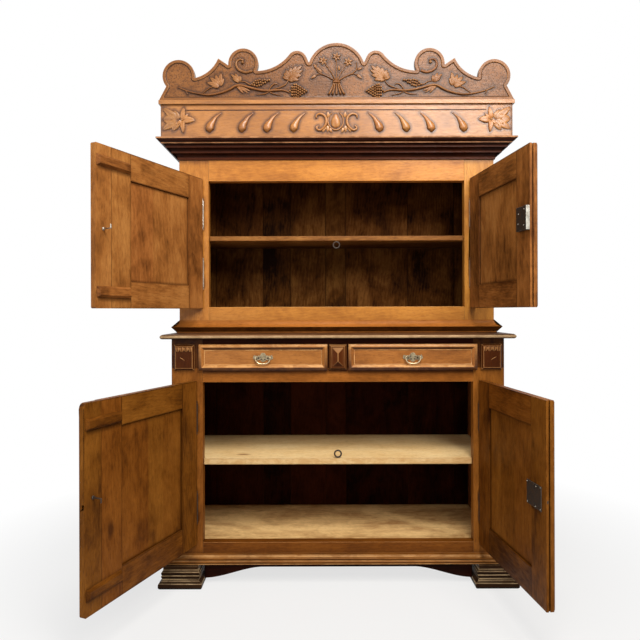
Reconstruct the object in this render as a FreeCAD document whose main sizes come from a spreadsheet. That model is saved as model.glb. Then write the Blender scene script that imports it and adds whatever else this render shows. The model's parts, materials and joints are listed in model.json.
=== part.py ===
import FreeCAD, Part
import math
import os
import re

# A two-part buffet cabinet with its four doors standing open.
# Millimetres, +Z up, the front faces -Y. It is drawn round the middle of the lower body's floor, and moved at the end.

Vector = FreeCAD.Vector

sizes = {
    # body
    "body_width": 1400,
    "lower_depth": 500,
    "upper_setback": 140,
    "front_depth": 40,
    "post_width": 130,
    "rear_post_width": 60,
    "side_thickness": 28,
    "side_rail_height": 110,
    "back_thickness": 12,
    # heights, from the floor up
    "foot_height": 92,
    "bottom_rail_height": 87,
    "lower_opening_height": 674,
    "drawer_rail_height": 59,
    "drawer_opening_height": 93,
    "top_rail_height": 31,
    "top_thickness": 19,
    "upper_bottom_rail_height": 115.5,
    "upper_opening_height": 560.5,
    "upper_top_rail_height": 176,
    # joinery
    "tenon_length": 40,
    "tenon_thickness": 12,
    "tenon_inset": 14,
    "tenon_shoulder": 4,
    "side_tenon_length": 25,
    "side_tenon_inset": 8,
    "side_tenon_shoulder": 15,
    "side_panel_thickness": 10,
    "side_panel_inset": 9,
    "side_panel_field": 7,
    "side_panel_bevel": 28,
    "groove_depth": 10,
    "panel_clearance": 0.3,
    # feet
    "foot_width": 182,
    "foot_top_width": 146,
    "foot_overhang": 48,
    "foot_torus_height": 30,
    "foot_torus_swell": 9,
    "foot_scotia_height": 14,
    "foot_neck_width": 150,
    "foot_bead_height": 13,
    "foot_bead_swell": 5,
    "foot_cove_height": 13,
    # base moulding and apron
    "base_fillet": 5,
    "base_step": 2,
    "base_bead": 8,
    "base_cove": 11,
    "apron_thickness": 20,
    "apron_setback": 12,
    "apron_foot_gap": 20,
    "apron_middle_gap": 82,
    "apron_curve_length": 240,
    # buffet top
    "top_overhang": 40,
    "edge_tip": 11,
    "edge_round_above": 16,
    "edge_round_below": 8,
    # floors, shelves and back boards
    "floor_drop": 6,
    "floor_thickness": 20,
    "ceiling_thickness": 18,
    "shelf_setback": 22,
    "lower_shelf_level": 526,
    "lower_shelf_thickness": 26,
    "upper_shelf_level": 1489,
    "upper_shelf_thickness": 22,
    "cleat_width": 20,
    "cleat_height": 25,
    "back_board_first": 73,
    "back_board_second": 238,
    "back_board_third": 137,
    "back_board_fourth": 178,
    "back_board_fifth": 101,
    "back_board_seventh": 233,
    "back_board_last": 70,
    # upper base moulding and cornice
    "beak_tip_rise": 27,
    "beak_out": 30,
    "beak_foot": 9,
    "beak_foot_rise": 6,
    "cornice_foot_fillet": 8,
    "cornice_fillet": 5,
    "cornice_step": 6,
    "cornice_low_cove": 16,
    "cornice_middle_cove": 14,
    "cornice_high_cove": 10,
    "cornice_ovolo": 12,
    "cornice_cap": 7.5,
    # frieze and crest
    "frieze_width": 1531,
    "frieze_height": 145,
    "frieze_thickness": 30,
    "frieze_out": 60,
    "ledge_height": 17,
    "ledge_out": 8,
    "crest_thickness": 28,
    "crest_overhang": 9,
    "crest_rim": 13,
    "crest_sinking": 5,
    "crest_slant": 33,
    "crest_slant_rise": 63,
    "crest_end_inner": 156.5,
    "crest_end_inner_rise": 99,
    "crest_end_swell": 98,
    "crest_peak": 259.5,
    "crest_peak_rise": 184,
    "crest_hollow_sag": 16.5,
    "crest_volute_outer": 303.5,
    "crest_volute_outer_rise": 154,
    "crest_volute_inner": 425.5,
    "crest_volute_inner_rise": 129,
    "crest_volute_swell": 86,
    "crest_shoulder": 203,
    "crest_shoulder_rise": 203,
    "crest_saddle_sag": 19.5,
    "crest_bump_inner": 133,
    "crest_bump_inner_rise": 193,
    "crest_bump_swell": 18,
    "crest_notch": 120,
    "crest_notch_rise": 164,
    "crest_dome_swell": 86,
    "brace_thickness": 24,
    "brace_depth": 100,
    "brace_spacing": 900,
    "brace_height": 180,
    # doors
    "door_thickness": 32,
    "door_gap": 1,
    "door_lap_side": 19,
    "door_lap_end": 7,
    "door_arris": 6,
    "stile_width": 100,
    "door_rail_width": 100,
    "door_tenon_length": 45,
    "door_tenon_thickness": 10,
    "door_tenon_shoulder": 14,
    "door_panel_back": 8,
    "door_panel_thickness": 9,
    "door_panel_field": 9,
    "door_panel_bevel": 40,
    "meeting_gap": 1.5,
    "lip_thickness": 8,
    "lip_groove_width": 6,
    "lip_groove_depth": 6,
    "pilaster_width": 75,
    "pilaster_thickness": 20,
    "batten_thickness": 12,
    "batten_height": 40,
    "batten_length": 165,
    "batten_edge_gap": 6,
    "batten_bevel": 8,
    "upper_batten_inset": 38,
    "lower_batten_inset": 50,
    "upper_left_angle": 114,
    "upper_right_angle": 97,
    "lower_left_angle": 112,
    "lower_right_angle": 97,
    # hinges
    "hinge_inset": 148,
    "hinge_length": 118,
    "knuckle_length": 41,
    "knuckle_radius": 5,
    "knuckle_clearance": 0.5,
    "knuckle_end_gap": 0.4,
    "pin_radius": 2.5,
    "pin_clearance": 0.06,
    "leaf_width": 22,
    "leaf_thickness": 2,
    "finial_neck": 2.5,
    "finial_neck_length": 4,
    "finial_radius": 4,
    # locks
    "upper_lock_level": 1478,
    "lower_lock_level": 529,
    "rim_lock_height": 85,
    "rim_lock_width": 76,
    "rim_lock_thickness": 14,
    "half_lock_height": 70,
    "half_lock_width": 46,
    "half_lock_depth": 12,
    "lock_plate_height": 82,
    "lock_plate_width": 100,
    "lock_plate_gap": 30,
    "half_lock_inset": 4,
    "lock_plate_thickness": 2,
    "bolt_height": 10,
    "bolt_thickness": 5,
    "bolt_length": 60,
    "bolt_travel": 8,
    "bolt_setback": 0.5,
    "bolt_seat": 3,
    "bolt_clearance": 0.3,
    # hooks and eyes
    "hook_radius": 2.5,
    "hook_reach": 37,
    "hook_tip": 14,
    "hook_root": 10,
    "hook_collar_radius": 6,
    "hook_collar": 3,
    "hook_drop": 6,
    "hook_clearance": 0.06,
    "eye_radius": 14,
    "eye_wire": 2.2,
    "eye_neck": 2,
    "eye_setback": 27,
    # drawers
    "drawer_lap_side": 13,
    "drawer_lap_end": 8,
    "drawer_inner_edge": 44,
    "drawer_front_thickness": 22,
    "drawer_bevel": 5,
    "drawer_rim": 12,
    "drawer_slope": 11,
    "drawer_sinking": 9,
    "drawer_side_clearance": 1,
    "drawer_runner_clearance": 0.3,
    "drawer_head_clearance": 4.7,
    "drawer_depth": 420,
    "drawer_side_thickness": 12,
    "drawer_bottom_rise": 8,
    "drawer_bottom_thickness": 7,
    "runner_width": 30,
    "runner_thickness": 20,
    "guide_width": 20,
    "guide_height": 25,
    # blocks of the drawer band
    "end_block_width": 86,
    "end_block_inset": 12,
    "block_height": 107,
    "block_thickness": 16,
    "block_bevel": 8,
    "diamond_width": 74,
    "diamond_border": 14,
    "diamond_rise": 9,
    "diamond_ridge": 1,
    # bail handles
    "plate_width": 84,
    "plate_height": 38,
    "plate_thickness": 2,
    "plate_waist": 22,
    "plate_piercing": 4,
    "boss_radius": 4,
    "boss_length": 13,
    "boss_spacing": 48,
    "boss_rise": 2,
    "bail_axis_out": 9,
    "bail_width": 62,
    "bail_drop": 28,
    "bail_wire": 2.4,
    "bail_corner": 24,
    "bail_clearance": 0.06,
}

doc = FreeCAD.newDocument("BuffetCabinet")
sheet = doc.addObject("Spreadsheet::Sheet", "Size")
for row, (alias, number) in enumerate(sizes.items(), 1):
    sheet.set(f"A{row}", alias)
    sheet.set(f"B{row}", str(number))
    sheet.setAlias(f"B{row}", alias)
doc.recompute()

# planes and levels, as formulas of the sheet's sizes
front = "(-lower_depth / 2)"
back = "(lower_depth / 2)"
upper_front = f"({front} + upper_setback)"
inner_back = f"({back} - back_thickness)"
half_width = "(body_width / 2)"
half_opening = f"({half_width} - post_width)"
inner_side = f"({half_width} - side_thickness)"
lower_sill = "(foot_height + bottom_rail_height)"
lower_head = f"({lower_sill} + lower_opening_height)"
drawer_sill = f"({lower_head} + drawer_rail_height)"
drawer_head = f"({drawer_sill} + drawer_opening_height)"
carcase_top = f"({drawer_head} + top_rail_height)"
table = f"({carcase_top} + top_thickness)"
upper_sill = f"({table} + upper_bottom_rail_height)"
upper_head = f"({upper_sill} + upper_opening_height)"
cornice_top = f"({upper_head} + upper_top_rail_height)"
cornice_height = ("(cornice_foot_fillet + cornice_low_cove + cornice_middle_cove + cornice_high_cove"
                  " + 3 * cornice_fillet + cornice_ovolo + cornice_cap)")

nodes = []


def get(alias):
    return float(sheet.get(alias))


def formula(text):
    def name(word):
        return "Size." + word.group() if word.group() in sizes else word.group()
    return re.sub(r"[a-z][a-z_]*", name, text)


def bind(item, **properties):
    for path, text in properties.items():
        item.setExpression(path.replace("__", "."), formula(text))


def place(item, x, y, z, angle="0"):
    bind(item, Placement__Base__x=x, Placement__Base__y=y, Placement__Base__z=z)
    if angle != "0":
        item.setExpression("Placement.Rotation.Angle", formula(angle))
    return item


def node(item, label):
    item.Label = label
    nodes.append(item)
    return item


def board(name, x, y, z):
    box = doc.addObject("Part::Box", name)
    bind(box, Length=f"{x[1]} - ({x[0]})", Width=f"{y[1]} - ({y[0]})", Height=f"{z[1]} - ({z[0]})")
    return place(box, x[0], y[0], z[0])


def rod(name, centre, radius, length, direction=Vector(0, 0, 1)):
    cylinder = doc.addObject("Part::Cylinder", name)
    bind(cylinder, Radius=radius, Height=length)
    cylinder.Placement.Rotation = FreeCAD.Rotation(Vector(0, 0, 1), direction)
    return place(cylinder, *centre)


def frustum(name, x, y, z, inset, outwards=True):
    # a bevelled block between y[0] and y[1]: it narrows by the inset towards -Y, or towards +Y
    near, far = (f"({inset})", "0") if outwards else ("0", f"({inset})")
    wedge = doc.addObject("Part::Wedge", name)
    bind(wedge, Ymin=y[0], Ymax=y[1],
         Xmin=f"{x[0]} + {near}", Xmax=f"{x[1]} - {near}", Zmin=f"{z[0]} + {near}", Zmax=f"{z[1]} - {near}",
         X2min=f"{x[0]} + {far}", X2max=f"{x[1]} - {far}", Z2min=f"{z[0]} + {far}", Z2max=f"{z[1]} - {far}")
    return wedge


def fuse(name, parts):
    union = doc.addObject("Part::MultiFuse", name)
    union.Shapes = parts
    union.Refine = True
    return union


def group(name, parts):
    compound = doc.addObject("Part::Compound", name)
    compound.Links = parts
    return compound


def cut(name, base, tools):
    result = doc.addObject("Part::Cut", name)
    result.Base = base
    result.Tool = tools[0] if len(tools) == 1 else fuse(name + "_tools", tools)
    return result


def solid(name, shape):
    feature = doc.addObject("Part::Feature", name)
    feature.Shape = shape
    return feature


def span(sign, near, far):
    return (near, far) if sign > 0 else (f"-({far})", f"-({near})")


def centred(half):
    return (f"-({half})", half)


sides = (("left", -1), ("right", 1))


# outlines: a point with a corner is reached along a quarter round that swells towards that corner,
# and a point with a via is reached along an arc through it
def outline(points, seat):
    edges = []
    last = points[0]["at"]
    for point in points[1:] + points[:1]:
        here = point["at"]
        if "corner" in point:
            corner = point["corner"]
            middle = [a + b - c for a, b, c in zip(last, here, corner)]
            via = [m + (c - m) * math.sqrt(0.5) for m, c in zip(middle, corner)]
            edges.append(Part.Arc(seat(*last), seat(*via), seat(*here)).toShape())
        elif "via" in point:
            edges.append(Part.Arc(seat(*last), seat(*point["via"]), seat(*here)).toShape())
        elif seat(*last).distanceToPoint(seat(*here)) > 1e-6:
            edges.append(Part.LineSegment(seat(*last), seat(*here)).toShape())
        last = here
    return Part.Wire(Part.__sortEdges__(edges))


def step(out, rise, corner=None, via=None):
    point = {"at": (out, rise)}
    if corner:
        point["corner"] = corner
    if via:
        point["via"] = via
    return point


def both_halves(half):
    # a half outline from the foot of the middle line to its head, with its mirror image
    mirror = []
    for index in range(len(half) - 1, 0, -1):
        out, rise = half[index - 1]["at"]
        corner = half[index].get("corner")
        via = half[index].get("via")
        mirror.append(step(-out, rise, corner and (-corner[0], corner[1]), via and (-via[0], via[1])))
    return half + mirror


def wrapped(points, width, depth):
    # three mitred lengths of one moulding, round the front and the two sides of a body
    reach = max(point["at"][0] for point in points)
    low = min(point["at"][1] for point in points)
    high = max(point["at"][1] for point in points)
    along = Part.Face(outline(points, lambda out, rise: Vector(-width / 2 - reach, -out, rise)))
    along = along.extrude(Vector(width + 2 * reach, 0, 0))
    beside = Part.Face(outline(points, lambda out, rise: Vector(width / 2 + out, -reach, rise)))
    beside = beside.extrude(Vector(0, depth + reach, 0))
    plan = [(width / 2, 0), (width / 2 + reach, -reach), (-width / 2 - reach, -reach), (-width / 2, 0)]
    corners = [Vector(x, y, low) for x, y in plan]
    mitre = Part.Face(Part.makePolygon(corners + corners[:1])).extrude(Vector(0, 0, high - low))
    front_run = along.common(mitre).Solids[0]
    right_run = beside.cut(mitre).Solids[0]
    left_run = right_run.mirror(Vector(0, 0, 0), Vector(1, 0, 0))
    return Part.makeCompound([front_run, right_run, left_run])


def crossed(across, along, width_seat, depth_seat, width_run, depth_run):
    # a moulded block: what two extruded outlines share
    first = Part.Face(outline(across, width_seat)).extrude(width_run)
    second = Part.Face(outline(along, depth_seat)).extrude(depth_run)
    return first.common(second).Solids[0]


# tenons, grooves and hinge seats that two pieces share
def front_tenon(name, sign, plane, low, high):
    return board(name, span(sign, half_opening, f"{half_opening} + tenon_length"),
                 (f"{plane} + tenon_inset", f"{plane} + tenon_inset + tenon_thickness"),
                 (f"{low} + tenon_shoulder", f"{high} - tenon_shoulder"))


def side_tenon(name, sign, y, low, high):
    outer = f"{half_width} - side_tenon_inset"
    return board(name, span(sign, f"{outer} - tenon_thickness", outer), y,
                 (f"{low} + side_tenon_shoulder", f"{high} - side_tenon_shoulder"))


def front_rail(label, plane, low, high):
    parts = [board(label + "_body", centred(half_opening), (plane, f"{plane} + front_depth"), (low, high))]
    for side, sign in sides:
        parts.append(front_tenon(f"{label}_{side}_tenon", sign, plane, low, high))
    return node(fuse(label, parts), label)


cases = {
    "lower": {"plane": front, "low": "foot_height", "high": carcase_top,
              "sill": lower_sill, "head": lower_head,
              "rails": (("foot_height", lower_sill), (lower_head, drawer_sill), (drawer_head, carcase_top))},
    "upper": {"plane": upper_front, "low": table, "high": cornice_top,
              "sill": upper_sill, "head": upper_head,
              "rails": ((table, upper_sill), (upper_head, cornice_top))},
}
post_back = {name: f"({case['plane']} + front_depth)" for name, case in cases.items()}
rear_post_front = f"({back} - rear_post_width)"
panel_outer = f"({half_width} - side_panel_inset)"
panel_inner = f"({panel_outer} - side_panel_thickness)"


def side_rail_levels(case):
    return ((case["low"], f"{case['low']} + side_rail_height"),
            (f"{case['high']} - side_rail_height", case["high"]))


def side_groove(name, sign, case_name):
    case = cases[case_name]
    return board(name, span(sign, f"{panel_inner} - panel_clearance", f"{panel_outer} + panel_clearance"),
                 (f"{post_back[case_name]} - groove_depth", f"{rear_post_front} + groove_depth"),
                 (f"{case['low']} + side_rail_height - groove_depth",
                  f"{case['high']} - side_rail_height + groove_depth"))


def hinge_levels(case):
    return (f"({case['sill']} + hinge_inset - hinge_length / 2)",
            f"({case['head']} - hinge_inset - hinge_length / 2)")


hinge_line = f"({half_opening} + door_lap_side + knuckle_radius + knuckle_clearance)"
pin_out = "(knuckle_radius + knuckle_clearance)"


def post_leaf_plate(name, sign, plane, level):
    # the hidden leaf of a barrel hinge, let into the front of the post
    return board(name, span(sign, f"{hinge_line} - leaf_thickness / 2", f"{hinge_line} + leaf_thickness / 2"),
                 (plane, f"{plane} + leaf_width"), (level, f"{level} + hinge_length"))


def post(case_name, side, sign):
    case = cases[case_name]
    name = f"{case_name}_{side}_post"
    base = board(name + "_board", span(sign, half_opening, half_width),
                 (case["plane"], post_back[case_name]), (case["low"], case["high"]))
    tools = [side_groove(name + "_groove", sign, case_name)]
    for index, (low, high) in enumerate(case["rails"]):
        tools.append(front_tenon(f"{name}_mortise_{index}", sign, case["plane"], low, high))
    for index, (low, high) in enumerate(side_rail_levels(case)):
        y = (f"{post_back[case_name]} - side_tenon_length", post_back[case_name])
        tools.append(side_tenon(f"{name}_side_mortise_{index}", sign, y, low, high))
    for index, level in enumerate(hinge_levels(case)):
        tools.append(post_leaf_plate(f"{name}_leaf_mortise_{index}", sign, case["plane"], level))
    return cut(name, base, tools)


def rear_post(case_name, side, sign):
    case = cases[case_name]
    name = f"{case_name}_{side}_rear_post"
    base = board(name + "_board", span(sign, inner_side, half_width), (rear_post_front, back),
                 (case["low"], case["high"]))
    tools = [side_groove(name + "_groove", sign, case_name)]
    for index, (low, high) in enumerate(side_rail_levels(case)):
        y = (rear_post_front, f"{rear_post_front} + side_tenon_length")
        tools.append(side_tenon(f"{name}_mortise_{index}", sign, y, low, high))
    return cut(name, base, tools)


def side_rails(case_name, side, sign):
    rails = []
    for index, (low, high) in enumerate(side_rail_levels(cases[case_name])):
        name = f"{case_name}_{side}_side_rail_{index}"
        body = board(name + "_body", span(sign, inner_side, half_width),
                     (post_back[case_name], rear_post_front), (low, high))
        tenon = side_tenon(name + "_tenon", sign,
                           (f"{post_back[case_name]} - side_tenon_length",
                            f"{rear_post_front} + side_tenon_length"), low, high)
        rails.append(cut(name, fuse(name + "_joined", [body, tenon]),
                         [side_groove(name + "_groove", sign, case_name)]))
    return rails


def side_panel(case_name, side, sign):
    # a tongued board with a bevelled field on its outer face
    case = cases[case_name]
    name = f"{case_name}_{side}_side_panel"
    y = (f"{post_back[case_name]} - groove_depth + panel_clearance",
         f"{rear_post_front} + groove_depth - panel_clearance")
    z = (f"{case['low']} + side_rail_height - groove_depth + panel_clearance",
         f"{case['high']} - side_rail_height + groove_depth - panel_clearance")
    tongue = board(name + "_tongue", span(sign, panel_inner, panel_outer), y, z)
    wide = (f"{post_back[case_name]} + panel_clearance", f"{rear_post_front} - panel_clearance")
    tall = (f"{case['low']} + side_rail_height + panel_clearance",
            f"{case['high']} - side_rail_height - panel_clearance")
    field = frustum(name + "_field", ("0", f"{wide[1]} - ({wide[0]})"), ("-side_panel_field", "0"), tall,
                    "side_panel_bevel")
    field.Placement.Rotation = FreeCAD.Rotation(Vector(0, 0, 1), 90 * sign)
    place(field, f"{sign} * {panel_outer}", wide[0] if sign > 0 else wide[1], "0")
    return fuse(name, [tongue, field])


for case_name in cases:
    node(group(case_name + "_posts", [post(case_name, *side) for side in sides]), case_name + "_front_posts")
node(group("rear_post_group", [rear_post(name, *side) for name in cases for side in sides]), "rear_posts")
node(group("side_rail_group", [rail for name in cases for side in sides for rail in side_rails(name, *side)]),
     "side_rails")
node(group("side_panel_group", [side_panel(name, *side) for name in cases for side in sides]), "side_panels")
front_rail("bottom_rail", front, "foot_height", lower_sill)
front_rail("under_drawer_rail", front, lower_head, drawer_sill)
front_rail("drawer_top_rail", front, drawer_head, carcase_top)
front_rail("upper_bottom_rail", upper_front, table, upper_sill)
front_rail("upper_top_rail", upper_front, upper_head, cornice_top)

# the upright between the two drawers
divider_half = "(drawer_inner_edge + drawer_lap_side)"
node(board("drawer_divider", centred(divider_half), (front, post_back["lower"]), (drawer_sill, drawer_head)),
     "drawer_divider")


# four turned-looking square feet, each a moulded block
def foot_outline():
    half = get("foot_width") / 2
    swell = get("foot_torus_swell")
    torus = get("foot_torus_height")
    neck = get("foot_neck_width") / 2
    scotia = torus + get("foot_scotia_height")
    bead = get("foot_bead_height")
    bulge = get("foot_bead_swell")
    crown = get("foot_top_width") / 2
    cove = scotia + 2 * bead + get("foot_cove_height")
    rise = [step(0, 0), step(half - swell, 0),
            step(half, torus / 2, corner=(half, 0)), step(half - swell, torus, corner=(half, torus)),
            step(neck, scotia, corner=(neck, torus))]
    for index in range(2):
        low = scotia + index * bead
        rise += [step(neck + bulge, low + bead / 2, corner=(neck + bulge, low)),
                 step(neck, low + bead, corner=(neck + bulge, low + bead))]
    rise += [step(crown, cove, corner=(crown, scotia + 2 * bead)), step(crown, get("foot_height")),
             step(0, get("foot_height"))]
    return both_halves(rise)


feet = []
half_foot = get("foot_width") / 2
for side, sign in sides:
    for end in ("front", "rear"):
        shape = crossed(foot_outline(), foot_outline(),
                        lambda out, rise: Vector(out, -half_foot, rise),
                        lambda out, rise: Vector(-half_foot, out, rise),
                        Vector(0, 2 * half_foot, 0), Vector(2 * half_foot, 0, 0))
        foot = solid(f"{side}_{end}_foot", shape)
        y = f"{front} - foot_overhang + foot_width / 2" if end == "front" else f"{back} - foot_width / 2"
        feet.append(place(foot, f"{sign} * ({half_width} + foot_overhang - foot_width / 2)", y, "0"))
node(group("foot_group", feet), "feet")


# mouldings round the foot of the lower body, the foot of the upper body and under the cornice's ledge
def base_outline():
    fillet = get("base_fillet")
    stride = get("base_step")
    bead = get("base_bead")
    cove = get("base_cove")
    out = stride
    rise = -fillet
    points = [step(0, 0), step(out, 0), step(out, rise),
              step(out + cove, rise - cove, corner=(out, rise - cove))]
    out += cove
    rise -= cove
    for index in range(2):
        points += [step(out + bead / 2, rise - bead / 2, corner=(out + bead / 2, rise)),
                   step(out, rise - bead, corner=(out + bead / 2, rise - bead)),
                   step(out + stride, rise - bead), step(out + stride, rise - bead - fillet)]
        out += stride
        rise -= bead + fillet
    points += [step(0, rise)]
    return points


def beak_outline():
    out = get("beak_out")
    tip = get("beak_tip_rise")
    foot = get("beak_foot")
    return [step(0, 0), step(foot, 0), step(foot, get("beak_foot_rise")), step(out, tip),
            step(0, tip + out, corner=(0, tip))]


def cornice_outline():
    stride = get("cornice_step")
    members = (("cornice_foot_fillet", None), (None, "cornice_low_cove"), ("cornice_fillet", None),
               (None, "cornice_middle_cove"), ("cornice_fillet", None), (None, "cornice_high_cove"),
               ("cornice_fillet", None), (None, "cornice_ovolo"), ("cornice_cap", None))
    out = 0
    rise = 0
    points = [step(0, 0)]
    for flat, curve in members:
        if flat:
            out += stride
            points += [step(out, rise), step(out, rise + get(flat))]
            rise += get(flat)
        else:
            radius = get(curve)
            corner = (out + radius, rise) if curve == "cornice_ovolo" else (out, rise + radius)
            points.append(step(out + radius, rise + radius, corner=corner))
            out += radius
            rise += radius
    return points + [step(0, rise)]


width = get("body_width")
lower_depth = get("lower_depth")
upper_depth = lower_depth - get("upper_setback")
base = base_outline()
base_drop = -min(point["at"][1] for point in base)
moulding = place(solid("base_run", wrapped(base, width, lower_depth)), "0", front, f"foot_height + {base_drop}")
node(moulding, "base_moulding")
node(place(solid("beak_run", wrapped(beak_outline(), width, upper_depth)), "0", upper_front, table),
     "upper_base_moulding")
node(place(solid("cornice_run", wrapped(cornice_outline(), width, upper_depth)), "0", upper_front,
           f"{cornice_top} - {cornice_height}"), "cornice")


# the apron between the front feet, with a curved lower edge
def apron_outline():
    half = get("body_width") / 2 + get("foot_overhang") - get("foot_width")
    low = get("apron_foot_gap")
    high = get("apron_middle_gap")
    bend = get("apron_curve_length") / 2
    middle = (low + high) / 2
    turn = half - bend
    return both_halves([step(0, high), step(turn - bend, high),
                        step(turn, middle, corner=(turn, high)),
                        step(half, low, corner=(turn, low)),
                        step(half, get("foot_height")), step(0, get("foot_height"))])


apron_wire = outline(apron_outline(), lambda out, rise: Vector(out, 0, rise))
apron = solid("apron_board", Part.Face(apron_wire).extrude(Vector(0, get("apron_thickness"), 0)))
node(place(apron, "0", f"{front} + apron_setback", "0"), "apron")


# the buffet top, a board with a rounded edge on three sides
def edge_points(reach):
    tip = get("edge_tip")
    thick = get("top_thickness")
    above = get("edge_round_above")
    below = get("edge_round_below")
    return [step(reach - below, 0), step(reach, tip, corner=(reach, 0)),
            step(reach - above, thick, corner=(reach, thick))]


top_half = width / 2 + get("top_overhang")
top_depth = lower_depth + get("top_overhang")
across = both_halves([step(0, 0)] + edge_points(top_half) + [step(0, get("top_thickness"))])
along = [step(0, 0)] + edge_points(top_depth) + [step(0, get("top_thickness"))]
top_shape = crossed(across, along,
                    lambda out, rise: Vector(out, -top_depth, rise),
                    lambda out, rise: Vector(-top_half, -out, rise),
                    Vector(0, top_depth, 0), Vector(2 * top_half, 0, 0))
node(place(solid("top_board", top_shape), "0", back, carcase_top), "buffet_top")

# floors, ceiling, shelves and their cleats
inside = centred(inner_side)


def inner_board(label, case_name, low, high):
    return node(board(label, inside, (post_back[case_name], inner_back), (low, high)), label)


inner_board("lower_floor", "lower", f"{lower_sill} - floor_drop - floor_thickness", f"{lower_sill} - floor_drop")
inner_board("upper_floor", "upper", f"{upper_sill} - floor_drop - floor_thickness", f"{upper_sill} - floor_drop")
inner_board("upper_ceiling", "upper", f"{cornice_top} - ceiling_thickness", cornice_top)
cleats = []
for case_name, case in cases.items():
    label = case_name + "_shelf"
    z = (f"{label}_level - {label}_thickness", f"{label}_level")
    nose = board(label + "_nose", centred(half_opening),
                 (f"{case['plane']} + shelf_setback", post_back[case_name]), z)
    deep = board(label + "_deep", inside, (post_back[case_name], inner_back), z)
    node(fuse(label, [nose, deep]), label)
    for side, sign in sides:
        cleats.append(board(f"{case_name}_{side}_cleat", span(sign, f"{inner_side} - cleat_width", inner_side),
                            (post_back[case_name], inner_back), (f"{z[0]} - cleat_height", z[0])))
node(group("cleat_group", cleats), "shelf_cleats")

# back boards of mixed widths, counted from both edges, with one board that takes up the rest
from_left = ("back_board_first", "back_board_second", "back_board_third", "back_board_fourth",
             "back_board_fifth")
from_right = ("back_board_last", "back_board_seventh")
for case_name, case in cases.items():
    boards = []
    low_edge = f"-{inner_side}"
    high_edge = inner_side
    spans = []
    for alias in from_left:
        spans.append((low_edge, f"{low_edge} + {alias}"))
        low_edge = f"{low_edge} + {alias}"
    for alias in from_right:
        spans.append((f"{high_edge} - {alias}", high_edge))
        high_edge = f"{high_edge} - {alias}"
    spans.append((low_edge, high_edge))
    for index, x in enumerate(spans):
        boards.append(board(f"{case_name}_back_{index}", x, (inner_back, back), (case["low"], case["high"])))
    node(group(case_name + "_back", boards), case_name + "_back_boards")

# runners under the drawers, with guides beside them
runner_y = (post_back["lower"], inner_back)
runner_z = (f"{drawer_sill} - runner_thickness", drawer_sill)
guide_z = (drawer_sill, f"{drawer_sill} + guide_height")
runners = [board("middle_runner", centred(f"{divider_half} + runner_width"), runner_y, runner_z),
           board("middle_guide", centred(divider_half), runner_y, guide_z)]
for side, sign in sides:
    runners.append(board(side + "_runner", span(sign, f"{half_opening} - runner_width", inner_side),
                         runner_y, runner_z))
    runners.append(board(side + "_guide", span(sign, half_opening, f"{half_opening} + guide_width"),
                         runner_y, guide_z))
node(group("runner_group", runners), "drawer_runners")

# frieze board with its ledge, the crest and the braces behind them
frieze_face = f"({upper_front} - frieze_out)"
frieze_top = f"({cornice_top} + frieze_height)"
crest_foot = f"({frieze_top} + ledge_height)"
frieze = board("frieze_panel", centred("frieze_width / 2"), (frieze_face, f"{frieze_face} + frieze_thickness"),
               (cornice_top, frieze_top))
ledge = board("frieze_ledge", centred("frieze_width / 2 + ledge_out"),
              (f"{frieze_face} - ledge_out", f"{frieze_face} + frieze_thickness"), (frieze_top, crest_foot))
node(group("frieze_group", [frieze, ledge]), "frieze_board")


def swelled(start, end, swell):
    # the middle of an arc between two points that swells to the right of the way from one to the other
    run = math.dist(start, end)
    return ((start[0] + end[0]) / 2 + (end[1] - start[1]) / run * swell,
            (start[1] + end[1]) / 2 - (end[0] - start[0]) / run * swell)


def crest_outline():
    end = get("frieze_width") / 2 + get("crest_overhang")
    half = [step(0, 0), step(end, 0), step(end - get("crest_slant"), get("crest_slant_rise"))]
    from_end = (("crest_end_inner", get("crest_end_swell")), ("crest_peak", -get("crest_hollow_sag")),
                ("crest_volute_outer", 0), ("crest_volute_inner", get("crest_volute_swell")))
    from_middle = (("crest_shoulder", -get("crest_saddle_sag")), ("crest_bump_inner", get("crest_bump_swell")),
                   ("crest_notch", 0))
    arcs = [(alias, end - get(alias), swell) for alias, swell in from_end]
    arcs += [(alias, get(alias), swell) for alias, swell in from_middle]
    for alias, out, swell in arcs:
        here = (out, get(alias + "_rise"))
        half.append(step(*here, via=swelled(half[-1]["at"], here, swell) if swell else None))
    out, rise = half[-1]["at"]
    whole = both_halves(half)
    crown = step(-out, rise, via=(0, rise + get("crest_dome_swell")))
    return whole[:len(half)] + [crown] + whole[len(half):]


crest_wire = outline(crest_outline(), lambda out, rise: Vector(out, 0, rise))
crest_body = Part.Face(crest_wire).extrude(Vector(0, get("crest_thickness"), 0))
sunk_wire = crest_wire.makeOffset2D(-get("crest_rim"))
sunk_ground = Part.Face(sunk_wire).extrude(Vector(0, get("crest_sinking"), 0))
crest = solid("crest_panel", crest_body.cut(sunk_ground).Solids[0])
node(place(crest, "0", frieze_face, crest_foot), "crest_board")

braces = []
for side, sign in sides:
    brace = doc.addObject("Part::Wedge", side + "_brace")
    bind(brace, Xmin="0", Xmax="brace_thickness", X2min="0", X2max="brace_thickness",
         Ymin="0", Ymax="brace_depth", Zmin="0", Zmax="brace_height", Z2min="0", Z2max="brace_thickness")
    braces.append(place(brace, f"{sign} * brace_spacing / 2 - brace_thickness / 2",
                        f"{frieze_face} + frieze_thickness", cornice_top))
node(group("brace_group", braces), "crest_braces")

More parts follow.
